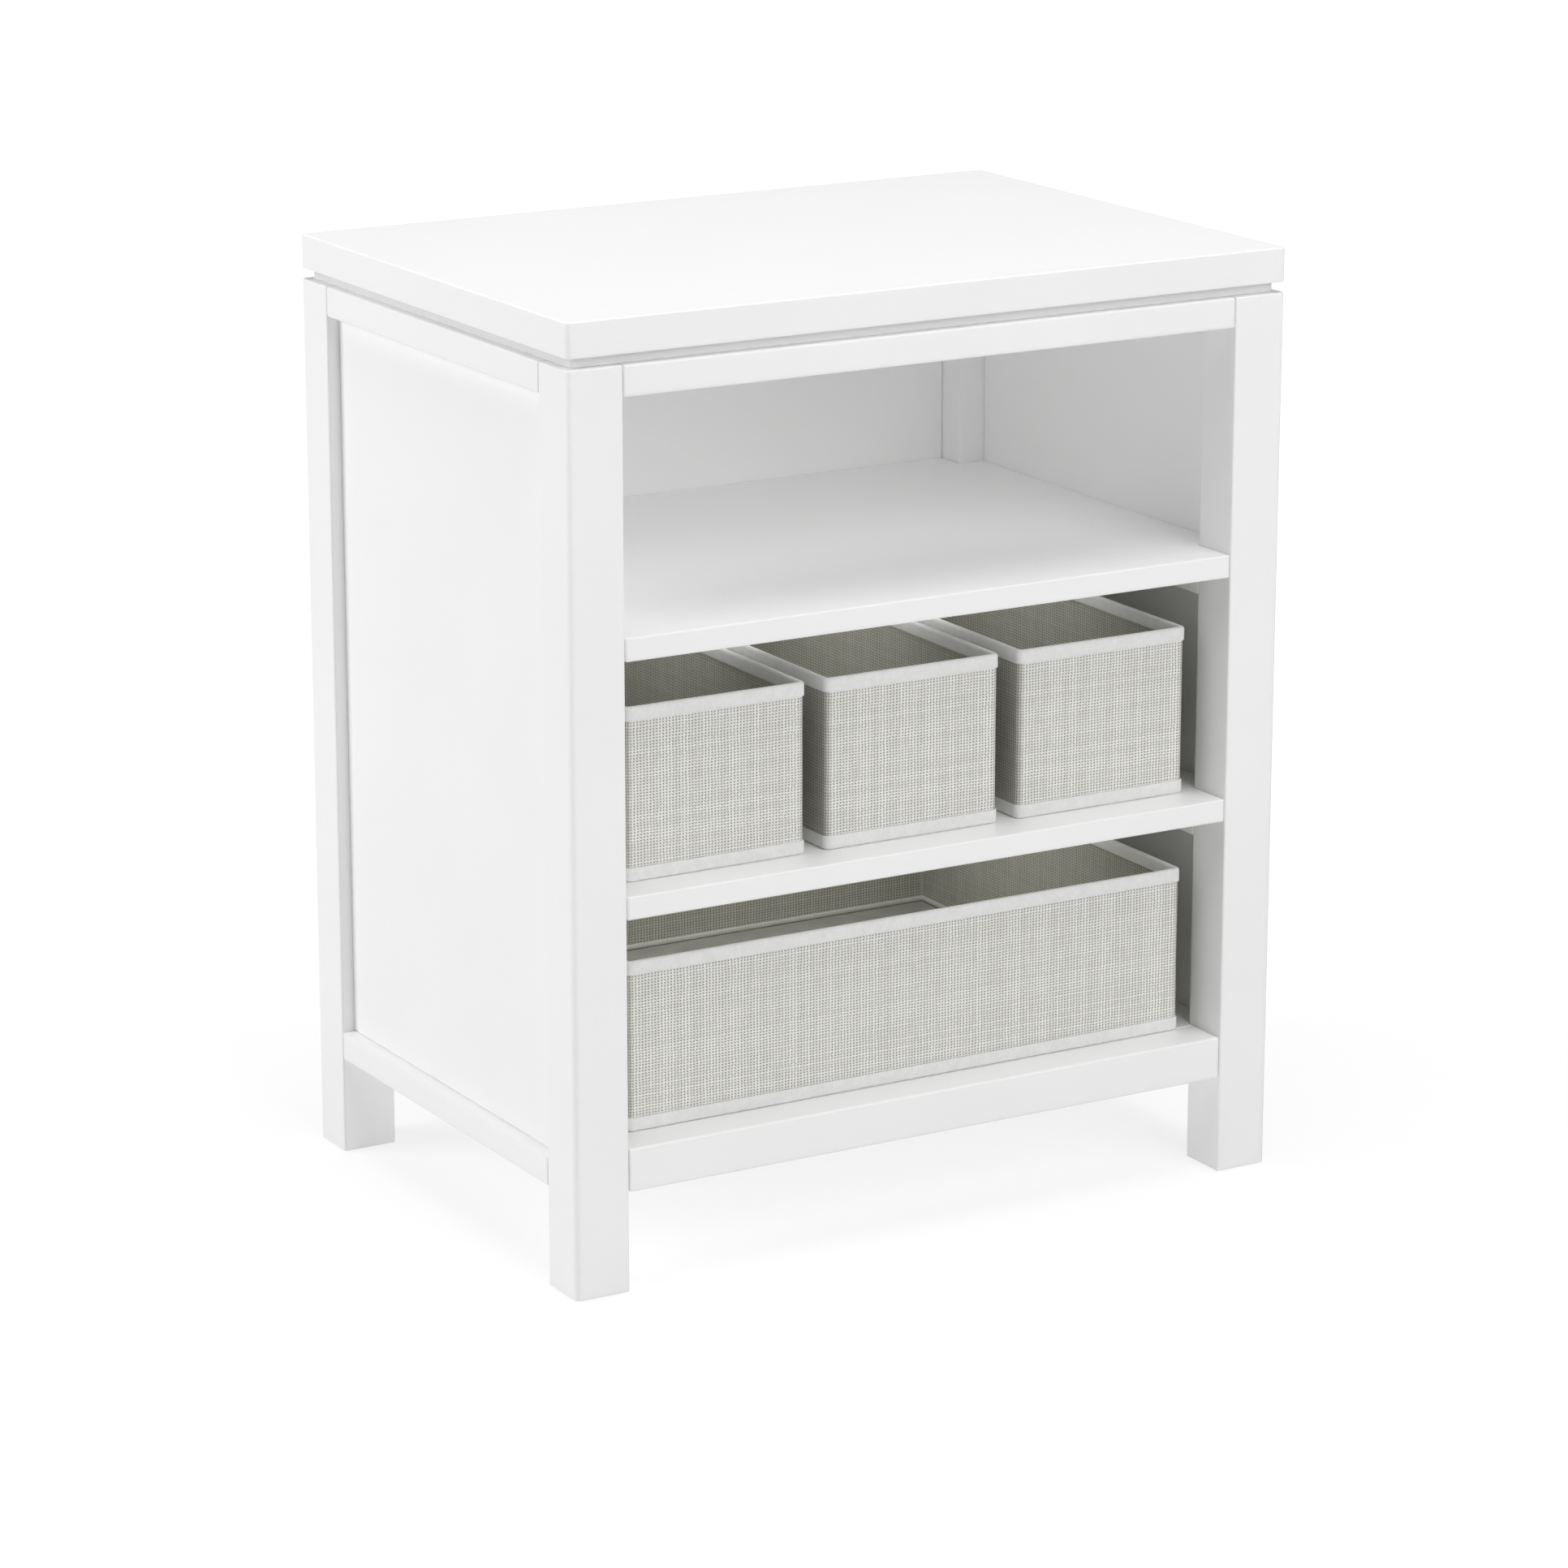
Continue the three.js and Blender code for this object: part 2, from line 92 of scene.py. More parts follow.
def lay_margins(mesh, corner_left):
    """Frames each flat with a narrow margin, so that the flat shades level, and marks the
    margin and the rounded edge as edge, where the lacquer runs thin. On a flat with round
    corners the margin stays inside what is left of the corner's radius."""
    mesh.normal_update()
    edge = mesh.verts.layers.float["edge"]
    for vert in mesh.verts:
        vert[edge] = 1.0
    flats = [f for f in mesh.faces if max(map(abs, f.normal)) > square_to_axis]
    tight_margin = min(lacquer_margin, corner_left * corner_share)
    for face in flats:
        margin = lacquer_margin if len(face.verts) == 4 else tight_margin
        bmesh.ops.inset_individual(mesh, faces=[face], thickness=margin, use_even_offset=True)
        for vert in face.verts:
            vert[edge] = 0.0


def eased_board(low, high, along, long_ease, end_ease):
    """A board with its long edges rounded to one radius and its end edges to a smaller one."""
    mesh = squared_block(low, high)
    round_over(mesh, [e for e in mesh.edges if runs_along(e, along)], long_ease)
    round_over(mesh, [e for e in mesh.edges if not runs_along(e, along)], end_ease)
    lay_margins(mesh, long_ease - end_ease)
    return mesh


def piece_of(mesh, name, material):
    """Makes the finished mesh a piece of its own, standing at the origin."""
    data = bpy.data.meshes.new(name)
    mesh.to_mesh(data)
    mesh.free()
    data.polygons.foreach_set("use_smooth", [True] * len(data.polygons))
    data.materials.append(material)
    made = bpy.data.objects.new(name, data)
    bpy.context.scene.collection.objects.link(made)
    return made


def add_node(tree, kind, inputs=None, **settings):
    """Adds a node. Each input is a value, or the output of another node to link to it."""
    made = tree.nodes.new(kind)
    for name, value in settings.items():
        setattr(made, name, value)
    for key, value in (inputs or {}).items():
        if isinstance(value, bpy.types.NodeSocket):
            tree.links.new(value, made.inputs[key])
        else:
            made.inputs[key].default_value = value
    return made


def arithmetic(tree, operation, *values):
    made = add_node(tree, "ShaderNodeMath", dict(enumerate(values)), operation=operation)
    return made.outputs["Value"]


def share_of(tree, value, share):
    return arithmetic(tree, "MULTIPLY", value, share)


def add_share(tree, value, share, onto):
    """Adds a share of one value onto another."""
    return arithmetic(tree, "MULTIPLY_ADD", value, share, onto)


def between(tree, factor, low, high):
    """Spreads a factor of 0 to 1 over the range from low to high."""
    made = add_node(tree, "ShaderNodeMapRange", {"Value": factor, "To Min": low, "To Max": high})
    return made.outputs["Result"]


def smooth_step(tree, value, start, end):
    inputs = {"Value": value, "From Min": start, "From Max": end}
    made = add_node(tree, "ShaderNodeMapRange", inputs, interpolation_type="SMOOTHSTEP")
    return made.outputs["Result"]


def blend_colours(tree, factor, first, second):
    """Mixes two colours, either of which may itself be a node's output."""
    made = add_node(tree, "ShaderNodeMix", {0: factor, 6: first, 7: second}, data_type="RGBA")
    return made.outputs[2]


def effect_group(name, inputs, outputs):
    """An empty shader node group with named inputs and outputs."""
    tree = bpy.data.node_groups.new(name, "ShaderNodeTree")
    for socket, kind in inputs.items():
        tree.interface.new_socket(socket, in_out="INPUT", socket_type=kind)
    for socket in outputs:
        tree.interface.new_socket(socket, in_out="OUTPUT", socket_type="NodeSocketFloat")
    given = tree.nodes.new("NodeGroupInput").outputs
    result = tree.nodes.new("NodeGroupOutput").inputs
    return tree, given, result


def use_group(tree, group, inputs):
    return add_node(tree, "ShaderNodeGroup", inputs, node_tree=group).outputs


def new_material(name, sockets):
    """A material with its Principled shader, whose uniform values are set on its sockets."""
    material = bpy.data.materials.new(name)
    material.use_nodes = True
    tree = material.node_tree
    shader = tree.nodes["Principled BSDF"]
    for socket, value in sockets.items():
        shader.inputs[socket].default_value = value
    return material, tree, shader


def finish_material(tree, shader, colour, roughness, height, depth, strength=1.0):
    """Links what varies over the surface: its colour, its roughness and its relief."""
    relief = {"Height": height, "Distance": depth, "Strength": strength}
    bump = add_node(tree, "ShaderNodeBump", relief)
    tree.links.new(colour, shader.inputs["Base Color"])
    tree.links.new(roughness, shader.inputs["Roughness"])
    tree.links.new(bump.outputs["Normal"], shader.inputs["Normal"])


def speckle_group():
    """Fine and broad noise together: the stipple of sprayed paint, felt or moulded plastic."""
    tree, given, result = effect_group(
        "speckle",
        {"Vector": "NodeSocketVector", "Fine": "NodeSocketFloat", "Broad": "NodeSocketFloat"},
        ["Fine Tone", "Broad Tone"],
    )
    fine = {"Vector": given["Vector"], "Scale": given["Fine"], "Detail": 3.0, "Roughness": 0.55}
    broad = {"Vector": given["Vector"], "Scale": given["Broad"], "Detail": 2.0, "Roughness": 0.5}
    tree.links.new(add_node(tree, "ShaderNodeTexNoise", fine).outputs["Fac"], result["Fine Tone"])
    tree.links.new(add_node(tree, "ShaderNodeTexNoise", broad).outputs["Fac"], result["Broad Tone"])
    return tree


def grain_group():
    """Wood grain: noise drawn out along the board, with finer pores inside the broad figure."""
    tree, given, result = effect_group(
        "wood_grain",
        {"Vector": "NodeSocketVector", "Stretch": "NodeSocketVector"},
        ["Figure", "Pores"],
    )
    stretched = {0: given["Vector"], 1: given["Stretch"]}
    drawn = add_node(tree, "ShaderNodeVectorMath", stretched, operation="MULTIPLY").outputs["Vector"]
    figure = {"Vector": drawn, "Scale": 1.0, "Detail": 4.0, "Roughness": 0.6, "Distortion": 0.6}
    pores = {"Vector": drawn, "Scale": 5.5, "Detail": 2.0, "Roughness": 0.7}
    tree.links.new(add_node(tree, "ShaderNodeTexNoise", figure).outputs["Fac"], result["Figure"])
    tree.links.new(add_node(tree, "ShaderNodeTexNoise", pores).outputs["Fac"], result["Pores"])
    return tree


def thin_edge_group():
    """Where lacquer has pulled thin: the edge mark on the mesh, broken up by noise."""
    tree, given, result = effect_group("thin_edge", {"Vector": "NodeSocketVector"}, ["Thin"])
    mark = add_node(tree, "ShaderNodeAttribute", attribute_name="edge").outputs["Fac"]
    patch = {"Vector": given["Vector"], "Scale": 95.0, "Detail": 3.0}
    broken = add_node(tree, "ShaderNodeTexNoise", patch).outputs["Fac"]
    patchy = smooth_step(tree, broken, start=0.32, end=0.68)
    tree.links.new(arithmetic(tree, "MULTIPLY", mark, patchy), result["Thin"])
    return tree


speckle, wood_grain, thin_edge = speckle_group(), grain_group(), thin_edge_group()
lacquer_white = (0.956, 0.956, 0.956, 1)
lacquer_shaded = (0.938, 0.938, 0.937, 1)
lacquer_thin = (0.915, 0.913, 0.907, 1)
grain_crosswise = 190.0
grain_lengthwise = 7.0


def white_lacquer(name, along, white=lacquer_white, shaded=lacquer_shaded):
    """White satin lacquer on a board whose grain runs along the given axis. The spray dries
    with a fine stipple, the grain telegraphs through faintly, and the film thins at edges."""
    material, tree, shader = new_material(name, {"Specular IOR Level": 0.42})
    place = add_node(tree, "ShaderNodeTexCoord").outputs["Object"]
    stretch = [grain_crosswise] * 3
    stretch[along] = grain_lengthwise
    grain = use_group(tree, wood_grain, {"Vector": place, "Stretch": stretch})
    spray = use_group(tree, speckle, {"Vector": place, "Fine": 950.0, "Broad": 9.0})
    thin = use_group(tree, thin_edge, {"Vector": place})["Thin"]
    cloudy = add_share(tree, grain["Figure"], share=0.35, onto=spray["Broad Tone"])
    colour = blend_colours(tree, smooth_step(tree, cloudy, start=0.4, end=0.95), white, shaded)
    colour = blend_colours(tree, share_of(tree, thin, share=0.5), colour, lacquer_thin)
    film = add_share(tree, grain["Pores"], share=0.3, onto=spray["Fine Tone"])
    duller = add_share(tree, thin, share=0.4, onto=spray["Broad Tone"])
    roughness = between(tree, duller, low=0.36, high=0.50)
    finish_material(tree, shader, colour, roughness, film, depth=0.00006, strength=0.35)
    return material


lacquers = [white_lacquer(f"white_lacquer_grain_{axis}", i) for i, axis in enumerate("xyz")]


def wooden(name, mesh, along, *nodes):
    """A lacquered wooden piece of the carcass, standing for the CAD nodes of the same board."""
    piece = piece_of(mesh, name, lacquers[along])
    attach(piece, "carcass")
    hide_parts(*nodes)
    return piece


across, deep, up = 0, 1, 2
low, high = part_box("top_slab")
wooden("table_top", eased_board(low, high, up, slab_corner, slab_ease), across, "top_slab")

# ---- Spacer under the top -------------------------------------------------------------------
# A thinner board set back under the slab, so that a shadow line runs round the top.
# Flat board with a small eased edge. Its outer edges are lacquered grey: painted shade from the slab
# that overhangs them.
spacer_corner = 0.0035
spacer_ease = 0.0006
# Painted shade: the grey tones of the spacer's upright sides, which stand in for the shade under the
# slab.
spacer_painted_shade_pale = (0.760, 0.760, 0.757, 1)
spacer_painted_shade_deep = (0.735, 0.735, 0.731, 1)
painted_shade_slope = 0.8

low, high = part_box("top_spacer")
board = eased_board(low, high, up, spacer_corner, spacer_ease)
spacer = wooden("spacer_board", board, across, "top_spacer")
# The upright sides get a second, grey lacquer: painted shade where the slab overhangs them.
spacer.data.materials.append(white_lacquer("thin_coated_edge", across, spacer_painted_shade_pale, spacer_painted_shade_deep))
for face in spacer.data.polygons:
    face.material_index = int(abs(face.normal.z) < painted_shade_slope)

# ---- Posts --------------------------------------------------------------------------------
# Four square legs that run from the floor to the spacer. Solid wood, planed square, with the
# outer corner well rounded and every other edge just eased, and dowelled to the rails.
post_corner = 0.0050
post_ease = 0.0018
post_end_ease = 0.0013

for end in ("front", "rear"):
    for side in ("left", "right"):
        node = f"post_{end}_{side}"
        mesh = squared_block(*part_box(node))
        long_edges = [e for e in mesh.edges if runs_along(e, up)]
        outer = max(long_edges, key=lambda e: abs(e.verts[0].co.x) + abs(e.verts[0].co.y))
        round_over(mesh, [e for e in long_edges if e is not outer], post_ease)
        round_over(mesh, [outer], post_corner)
        round_over(mesh, [e for e in mesh.edges if not runs_along(e, up)], post_end_ease)
        lay_margins(mesh, post_ease - post_end_ease)
        wooden(f"leg_{end}_{side}", mesh, up, node)

# ---- Rails --------------------------------------------------------------------------------
# Eight rails between the legs, at the top and near the foot on every side. Solid wood with
# eased edges and rounded end corners, which leave a fine dark joint line against each leg.
rail_ease = 0.0022
rail_end_ease = 0.0019
joint_line = 0.0010
bore_rim = 0.0004
bore_play = 0.0006
bore_above_head = 0.003
bore_steps = 6
nearly_all = 0.999
sharp_angle = 0.9
cut_snap = 0.00002

left_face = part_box("post_front_left")[1].x
right_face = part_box("post_front_right")[0].x
front_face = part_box("post_front_left")[1].y
rear_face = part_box("post_rear_left")[0].y


def underside_at(mesh, spot):
    """The face of a board's underside that lies nearest to a spot."""
    faces = [f for f in mesh.faces if f.normal.z < -square_to_axis]
    return min(faces, key=lambda f: (f.calc_center_median() - spot).length)


def counterbore(mesh, screw, underside):
    """Sinks a round flat-bottomed hole up into the board's underside, round the screw's head."""
    head_low, head_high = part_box(screw)
    roof = head_low.z + bore_above_head
    centre = (head_low + head_high) / 2
    radius = (head_high.x - head_low.x) / 2 + bore_play
    for axis in (across, deep):
        for side in (-1, 1):
            point = centre.copy()
            point[axis] += side * (radius + bore_rim)
            normal = Vector((0, 0, 0))
            normal[axis] = 1
            bmesh.ops.bisect_plane(mesh, geom=mesh.verts[:] + mesh.edges[:] + mesh.faces[:],
                                   dist=cut_snap, plane_co=point, plane_no=normal)
    mesh.normal_update()
    spot = Vector((centre.x, centre.y, underside))
    face = underside_at(mesh, spot)
    bmesh.ops.inset_individual(mesh, faces=[face], thickness=bore_rim, use_even_offset=True)
    bmesh.ops.bevel(mesh, geom=face.verts[:], offset=radius * nearly_all, affect="VERTICES",
                    segments=bore_steps, profile=0.5, material=-1)
    mouth = underside_at(mesh, spot)
    sunk = bmesh.ops.extrude_discrete_faces(mesh, faces=[mouth])["faces"][0]
    bmesh.ops.translate(mesh, vec=(0, 0, roof - underside), verts=sunk.verts)
    mesh.normal_update()
    for edge in mesh.edges:
        edge.smooth = edge.calc_face_angle(0) < sharp_angle


for level in ("top", "bottom"):
    for side in ("front", "back"):
        node = f"rail_{level}_{side}"
        low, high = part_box(node)
        low.x, high.x = left_face + joint_line, right_face - joint_line
        rail = eased_board(low, high, across, rail_ease, rail_end_ease)
        wooden(f"{level}_rail_{side}", rail, across, node)
    for side in ("left", "right"):
        node = f"rail_{level}_{side}"
        low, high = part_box(node)
        low.y, high.y = front_face + joint_line, rear_face - joint_line
        rail = eased_board(low, high, deep, rail_ease, rail_end_ease)
        if level == "top":
            for end in ("front", "rear"):
                counterbore(rail, f"top_screw_{end}_{side}", low.z)
        wooden(f"{level}_rail_{side}", rail, deep, node)

# ---- Side and back panels -----------------------------------------------------------------
# Thin lacquered boards held in grooves of the legs and rails. Each face has a fine dark line
# round it, where the board drops into its groove with a little play.
groove_play = 0.0011
groove_step = 0.0022
step_slope = 0.0001
step_margin = 0.0004
tongue_in = 0.003


def grooved_panel(low, high, through, opening_low, opening_high):
    """A panel whose two faces stand up inside the opening, and whose edge, stepped back from
    each face, runs on into the grooves all round."""
    mesh = bmesh.new()
    mesh.verts.layers.float.new("edge")
    tongue_low = opening_low - Vector((tongue_in,) * 3)
    tongue_high = opening_high + Vector((tongue_in,) * 3)
    tongue_low[through] = low[through] + groove_step
    tongue_high[through] = high[through] - groove_step
    bmesh.ops.create_cube(mesh, size=1)
    bmesh.ops.scale(mesh, vec=tongue_high - tongue_low, verts=mesh.verts)
    bmesh.ops.translate(mesh, vec=(tongue_low + tongue_high) / 2, verts=mesh.verts)
    mesh.normal_update()
    sides = [f for f in mesh.faces if abs(f.normal[through]) > square_to_axis]
    hidden = tongue_in + groove_play
    bmesh.ops.inset_individual(mesh, faces=sides, thickness=hidden, use_even_offset=True)
    for face in sides:
        bmesh.ops.inset_individual(mesh, faces=[face], thickness=step_slope, depth=groove_step)
        bmesh.ops.inset_individual(mesh, faces=[face], thickness=step_margin, use_even_offset=True)
    mesh.normal_update()
    for edge in mesh.edges:
        edge.smooth = edge.calc_face_angle(0) < sharp_angle
    return mesh


for side in ("left", "right"):
    node = f"side_panel_{side}"
    low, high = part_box(node)
    opening_low = Vector((low.x, front_face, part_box(f"rail_bottom_{side}")[1].z))
    opening_high = Vector((high.x, rear_face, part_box(f"rail_top_{side}")[0].z))
    panel = grooved_panel(low, high, across, opening_low, opening_high)
    wooden(f"panel_{side}", panel, up, node)

low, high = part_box("back_panel")
opening_low = Vector((left_face, low.y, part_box("rail_bottom_back")[1].z))
opening_high = Vector((right_face, high.y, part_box("rail_top_back")[0].z))
wooden("panel_back", grooved_panel(low, high, deep, opening_low, opening_high), up, "back_panel")

# ---- Shelves ------------------------------------------------------------------------------
# Three boards notched round the four legs: two shelves with a front edge that shows, and the
# bottom one, which lies behind the bottom front rail and level with it.
shelf_ease = 0.0016
shelf_end_round = 0.0024
notch_play = 0.0009


def notched_board(name):
    """Outline of a board that is narrow between the front legs and between the rear legs and
    wide between them, raised to its thickness, its front corners rounded and edges eased."""
    low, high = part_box(name)
    narrow = right_face - notch_play
    rear_notch = rear_face - notch_play
    front_notch = front_face + notch_play
    half = [(narrow, low.y), (narrow, front_notch), (high.x, front_notch), (high.x, rear_notch),
            (narrow, rear_notch), (narrow, high.y)]
    outline = half + [(-x, y) for x, y in reversed(half)]
    mesh = bmesh.new()
    mesh.verts.layers.float.new("edge")
    base = mesh.faces.new([mesh.verts.new((x, y, low.z)) for x, y in outline])
    raised = bmesh.ops.extrude_face_region(mesh, geom=[base])["geom"]
    top = [v for v in raised if isinstance(v, bmesh.types.BMVert)]
    bmesh.ops.translate(mesh, vec=(0, 0, high.z - low.z), verts=top)
    bmesh.ops.recalc_face_normals(mesh, faces=mesh.faces)
    corners = [e for e in mesh.edges if runs_along(e, up)]
    round_over(mesh, corners, shelf_end_round)
    round_over(mesh, [e for e in mesh.edges if not runs_along(e, up)], shelf_ease)
    lay_margins(mesh, shelf_end_round - shelf_ease)
    return mesh


for level in ("upper", "middle", "bottom"):
    node = f"shelf_{level}"
    wooden(f"{level}_shelf", notched_board(node), across, node)

# ---- Cleats -------------------------------------------------------------------------------
# Square battens along the side panels that carry the two shelves. Solid wood, eased, each
# counterbored underneath for the screw that holds its shelf down.
cleat_ease = 0.0016
cleat_end_ease = 0.0012

for level in ("upper", "middle"):
    for side in ("left", "right"):
        node = f"cleat_{level}_{side}"
        low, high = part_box(node)
        cleat = eased_board(low, high, deep, cleat_ease, cleat_end_ease)
        counterbore(cleat, f"cleat_screw_{level}_{side}", low.z)
        wooden(f"batten_{level}_{side}", cleat, deep, node)

# ---- Dowels, screws and glides ------------------------------------------------------------
# The joinery inside the carcass, kept as it was drawn: turned beech dowels in the rail ends,
# zinc-plated pan-head screws, and moulded nylon glides nailed under the feet.
beech_pale = (0.62, 0.42, 0.25, 1)
beech_dark = (0.44, 0.27, 0.14, 1)
zinc_bright = (0.66, 0.67, 0.69, 1)
zinc_dull = (0.42, 0.43, 0.45, 1)
nylon_pale = (0.80, 0.79, 0.75, 1)
nylon_dark = (0.66, 0.65, 0.61, 1)


def turned_beech():
    """Bare beech, turned, with its grain running across the table."""
    material, tree, shader = new_material("turned_beech", {"Specular IOR Level": 0.3})
    place = add_node(tree, "ShaderNodeTexCoord").outputs["Object"]
    grain = use_group(tree, wood_grain, {"Vector": place, "Stretch": (40.0, 900.0, 900.0)})
    streak = smooth_step(tree, grain["Figure"], start=0.3, end=0.7)
    colour = blend_colours(tree, streak, beech_pale, beech_dark)
    roughness = between(tree, grain["Pores"], low=0.5, high=0.75)
    finish_material(tree, shader, colour, roughness, grain["Pores"], depth=0.0001, strength=0.6)
    return material


def plated_zinc():
    """Bright zinc plating, a little clouded."""
    material, tree, shader = new_material("plated_zinc", {"Metallic": 1.0})
    place = add_node(tree, "ShaderNodeTexCoord").outputs["Object"]
    spots = use_group(tree, speckle, {"Vector": place, "Fine": 2400.0, "Broad": 420.0})
    bloom = smooth_step(tree, spots["Broad Tone"], start=0.35, end=0.65)
    colour = blend_colours(tree, bloom, zinc_bright, zinc_dull)
    roughness = between(tree, spots["Broad Tone"], low=0.24, high=0.48)
    finish_material(tree, shader, colour, roughness, spots["Fine Tone"], depth=0.00004, strength=0.5)
    return material


def moulded_nylon():
    """Off-white nylon with faint flow lines from the mould."""
    material, tree, shader = new_material("moulded_nylon", {"Specular IOR Level": 0.45})
    place = add_node(tree, "ShaderNodeTexCoord").outputs["Object"]
    skin = use_group(tree, speckle, {"Vector": place, "Fine": 1700.0, "Broad": 130.0})
    flow = smooth_step(tree, skin["Broad Tone"], start=0.3, end=0.7)
    colour = blend_colours(tree, flow, nylon_pale, nylon_dark)
    roughness = between(tree, skin["Fine Tone"], low=0.42, high=0.6)
    finish_material(tree, shader, colour, roughness, skin["Fine Tone"], depth=0.00005, strength=0.6)
    return material


hidden_finishes = {"dowel": turned_beech(), "screw": plated_zinc(), "glide": moulded_nylon()}
for node, kept in frame["nodes"].items():
    for word, material in hidden_finishes.items():
        if word in node:
            kept.data.materials.clear()
            kept.data.materials.append(material)

# ---- Fabric bins --------------------------------------------------------------------------
# Four open boxes of a coarse open-weave cloth over stiff board: three small ones side by side
# and a wide one below. Walls and bottom are one folded shell with rounded upright corners.
bin_corner = 0.0075
bin_corner_steps = 7
wall_spacing = 0.009
wall_out = -0.0015
wall_in = -0.0045
shell_below_rim = 0.0026
shell_lift = 0.0015
shell_fold = 0.0017
shell_floor = 0.0030
wall_rows = 12
wall_ripple = 0.00022
wall_ripple_length = 0.06
wall_bow = 0.0005
warp_pitch = 0.00340
weft_pitch = 0.00280
yarn_wander = 0.5
yarn_level = 0.66
yarn_swing = 0.28
slub_stretch = (290.0, 45.0, 1.0)
yarn_light = (0.898, 0.888, 0.860, 1)
yarn_dull = (0.760, 0.750, 0.716, 1)
between_yarns = (0.220, 0.217, 0.185, 1)
# Painted shade: the tint that darkens the cloth inside the bin, and how much of it the side walls
# take.
painted_shade_tint = (0.560, 0.560, 0.515, 1)
side_painted_shade_share = 0.85
gap_spread = 0.8


def plan_ring(mesh, low, high, spacing):
    """Lays a bin's plan outline as a ring of edges. Each vertex keeps its place in plan, which
    way is outward, and how far along the outline it is."""
    plan = mesh.verts.layers.float_vector.new("plan")
    outward = mesh.verts.layers.float_vector.new("outward")
    along = mesh.verts.layers.float.new("along")
    corners = [(low.x, low.y), (high.x, low.y), (high.x, high.y), (low.x, high.y)]
    face = mesh.faces.new([mesh.verts.new((x, y, 0)) for x, y in corners])
    bmesh.ops.bevel(mesh, geom=mesh.verts[:], offset=bin_corner, affect="VERTICES",
                    segments=bin_corner_steps, profile=0.5, material=-1)
    for edge in [e for e in mesh.edges if e.calc_length() > 2 * spacing]:
        bmesh.ops.subdivide_edges(mesh, edges=[edge], cuts=round(edge.calc_length() / spacing) - 1)
    mesh.faces.ensure_lookup_table()
    face = mesh.faces[0]
    start = min(face.loops, key=lambda loop: (loop.vert.co - Vector((low.x, high.y, 0))).length)
    loop, travelled = start, 0.0
    for _ in range(len(face.verts)):
        co = loop.vert.co
        inner = Vector((min(max(co.x, low.x + bin_corner), high.x - bin_corner),
                        min(max(co.y, low.y + bin_corner), high.y - bin_corner), 0))
        loop.vert[plan] = co
        loop.vert[outward] = (co - inner).normalized()
        loop.vert[along] = travelled
        travelled += loop.edge.calc_length()
        loop = loop.link_loop_next
    ring = mesh.edges[:]
    bmesh.ops.delete(mesh, geom=[face], context="FACES_ONLY")
    return ring, travelled


def set_ring(mesh, ring, out, height):
    """Puts a ring of edges at a distance outside the outline and at a height."""
    plan = mesh.verts.layers.float_vector["plan"]
    outward = mesh.verts.layers.float_vector["outward"]
    for vert in {v for edge in ring for v in edge.verts}:
        vert.co = vert[plan] + vert[outward] * out
        vert.co.z = height


def wrap(mesh, ring, section):
    """Carries a ring of edges through a section's points of outward distance and height."""
    first = ring
    set_ring(mesh, ring, *section[0])
    for out, height in section[1:]:
        made = bmesh.ops.extrude_edge_only(mesh, edges=ring)["geom"]
        ring = [e for e in made if isinstance(e, bmesh.types.BMEdge)]
        set_ring(mesh, ring, out, height)
    return first, ring


def arc(centre, radius, start, end, steps):
    """Points of an arc in a section, with its angles in degrees from outward, turning up."""
    turns = [math.radians(start + (end - start) * i / steps) for i in range(steps + 1)]
    return [(centre[0] + radius * math.cos(a), centre[1] + radius * math.sin(a)) for a in turns]


def ripple(mesh, amount, length, seed):
    """Pushes cloth in and out by a small smooth unevenness, the same on both its faces."""
    plan = mesh.verts.layers.float_vector["plan"]
    outward = mesh.verts.layers.float_vector["outward"]
    for vert in mesh.verts:
        spot = Vector(vert[plan]) / length
        spot.z = vert.co.z / length + seed
        vert.co += Vector(vert[outward]) * noise.noise(spot) * amount


def bow(mesh, low, high, amount):
    """Draws each wall in a little towards its middle, where the board inside gives."""
    plan = mesh.verts.layers.float_vector["plan"]
    outward = mesh.verts.layers.float_vector["outward"]
    for vert in mesh.verts:
        share = [math.sin(math.pi * min(max((vert[plan][i] - low[i]) / (high[i] - low[i]), 0), 1))
                 for i in (0, 1)]
        rise = math.sin(math.pi * min(max((vert.co.z - low.z) / (high.z - low.z), 0), 1))
        pull = abs(vert[outward][1]) * share[0] + abs(vert[outward][0]) * share[1]
        vert.co -= Vector(vert[outward]) * pull * rise * amount


def lay_cloth(mesh, around):
    """Gives the cloth its own map: distance round the bin and height on the walls, and the
    plan on the bottom, in metres."""
    cloth = mesh.loops.layers.uv.new("cloth")
    along = mesh.verts.layers.float["along"]
    mesh.normal_update()
    for face in mesh.faces:
        flat = len(face.verts) > 4
        ends = [loop.vert[along] for loop in face.loops]
        crosses = max(ends) - min(ends) > around / 2
        for loop in face.loops:
            turn = loop.vert[along]
            if crosses and turn < around / 2:
                turn += around
            co = loop.vert.co
            loop[cloth].uv = (co.x, co.y) if flat else (turn, co.z)


def mark_painted_shade(mesh):
    """Marks where shade is painted into the cloth: fully on its inner face, and nearly so on the
    sides.
    """
    outward = mesh.verts.layers.float_vector["outward"]
    plan = mesh.verts.layers.float_vector["plan"]
    depth = mesh.verts.layers.float.new("depth")
    for vert in mesh.verts:
        out = (vert.co - Vector(vert[plan])).dot(Vector(vert[outward]))
        vert[depth] = 1.0 if out < (wall_in + wall_out) / 2 else abs(vert[outward][0]) * side_painted_shade_share


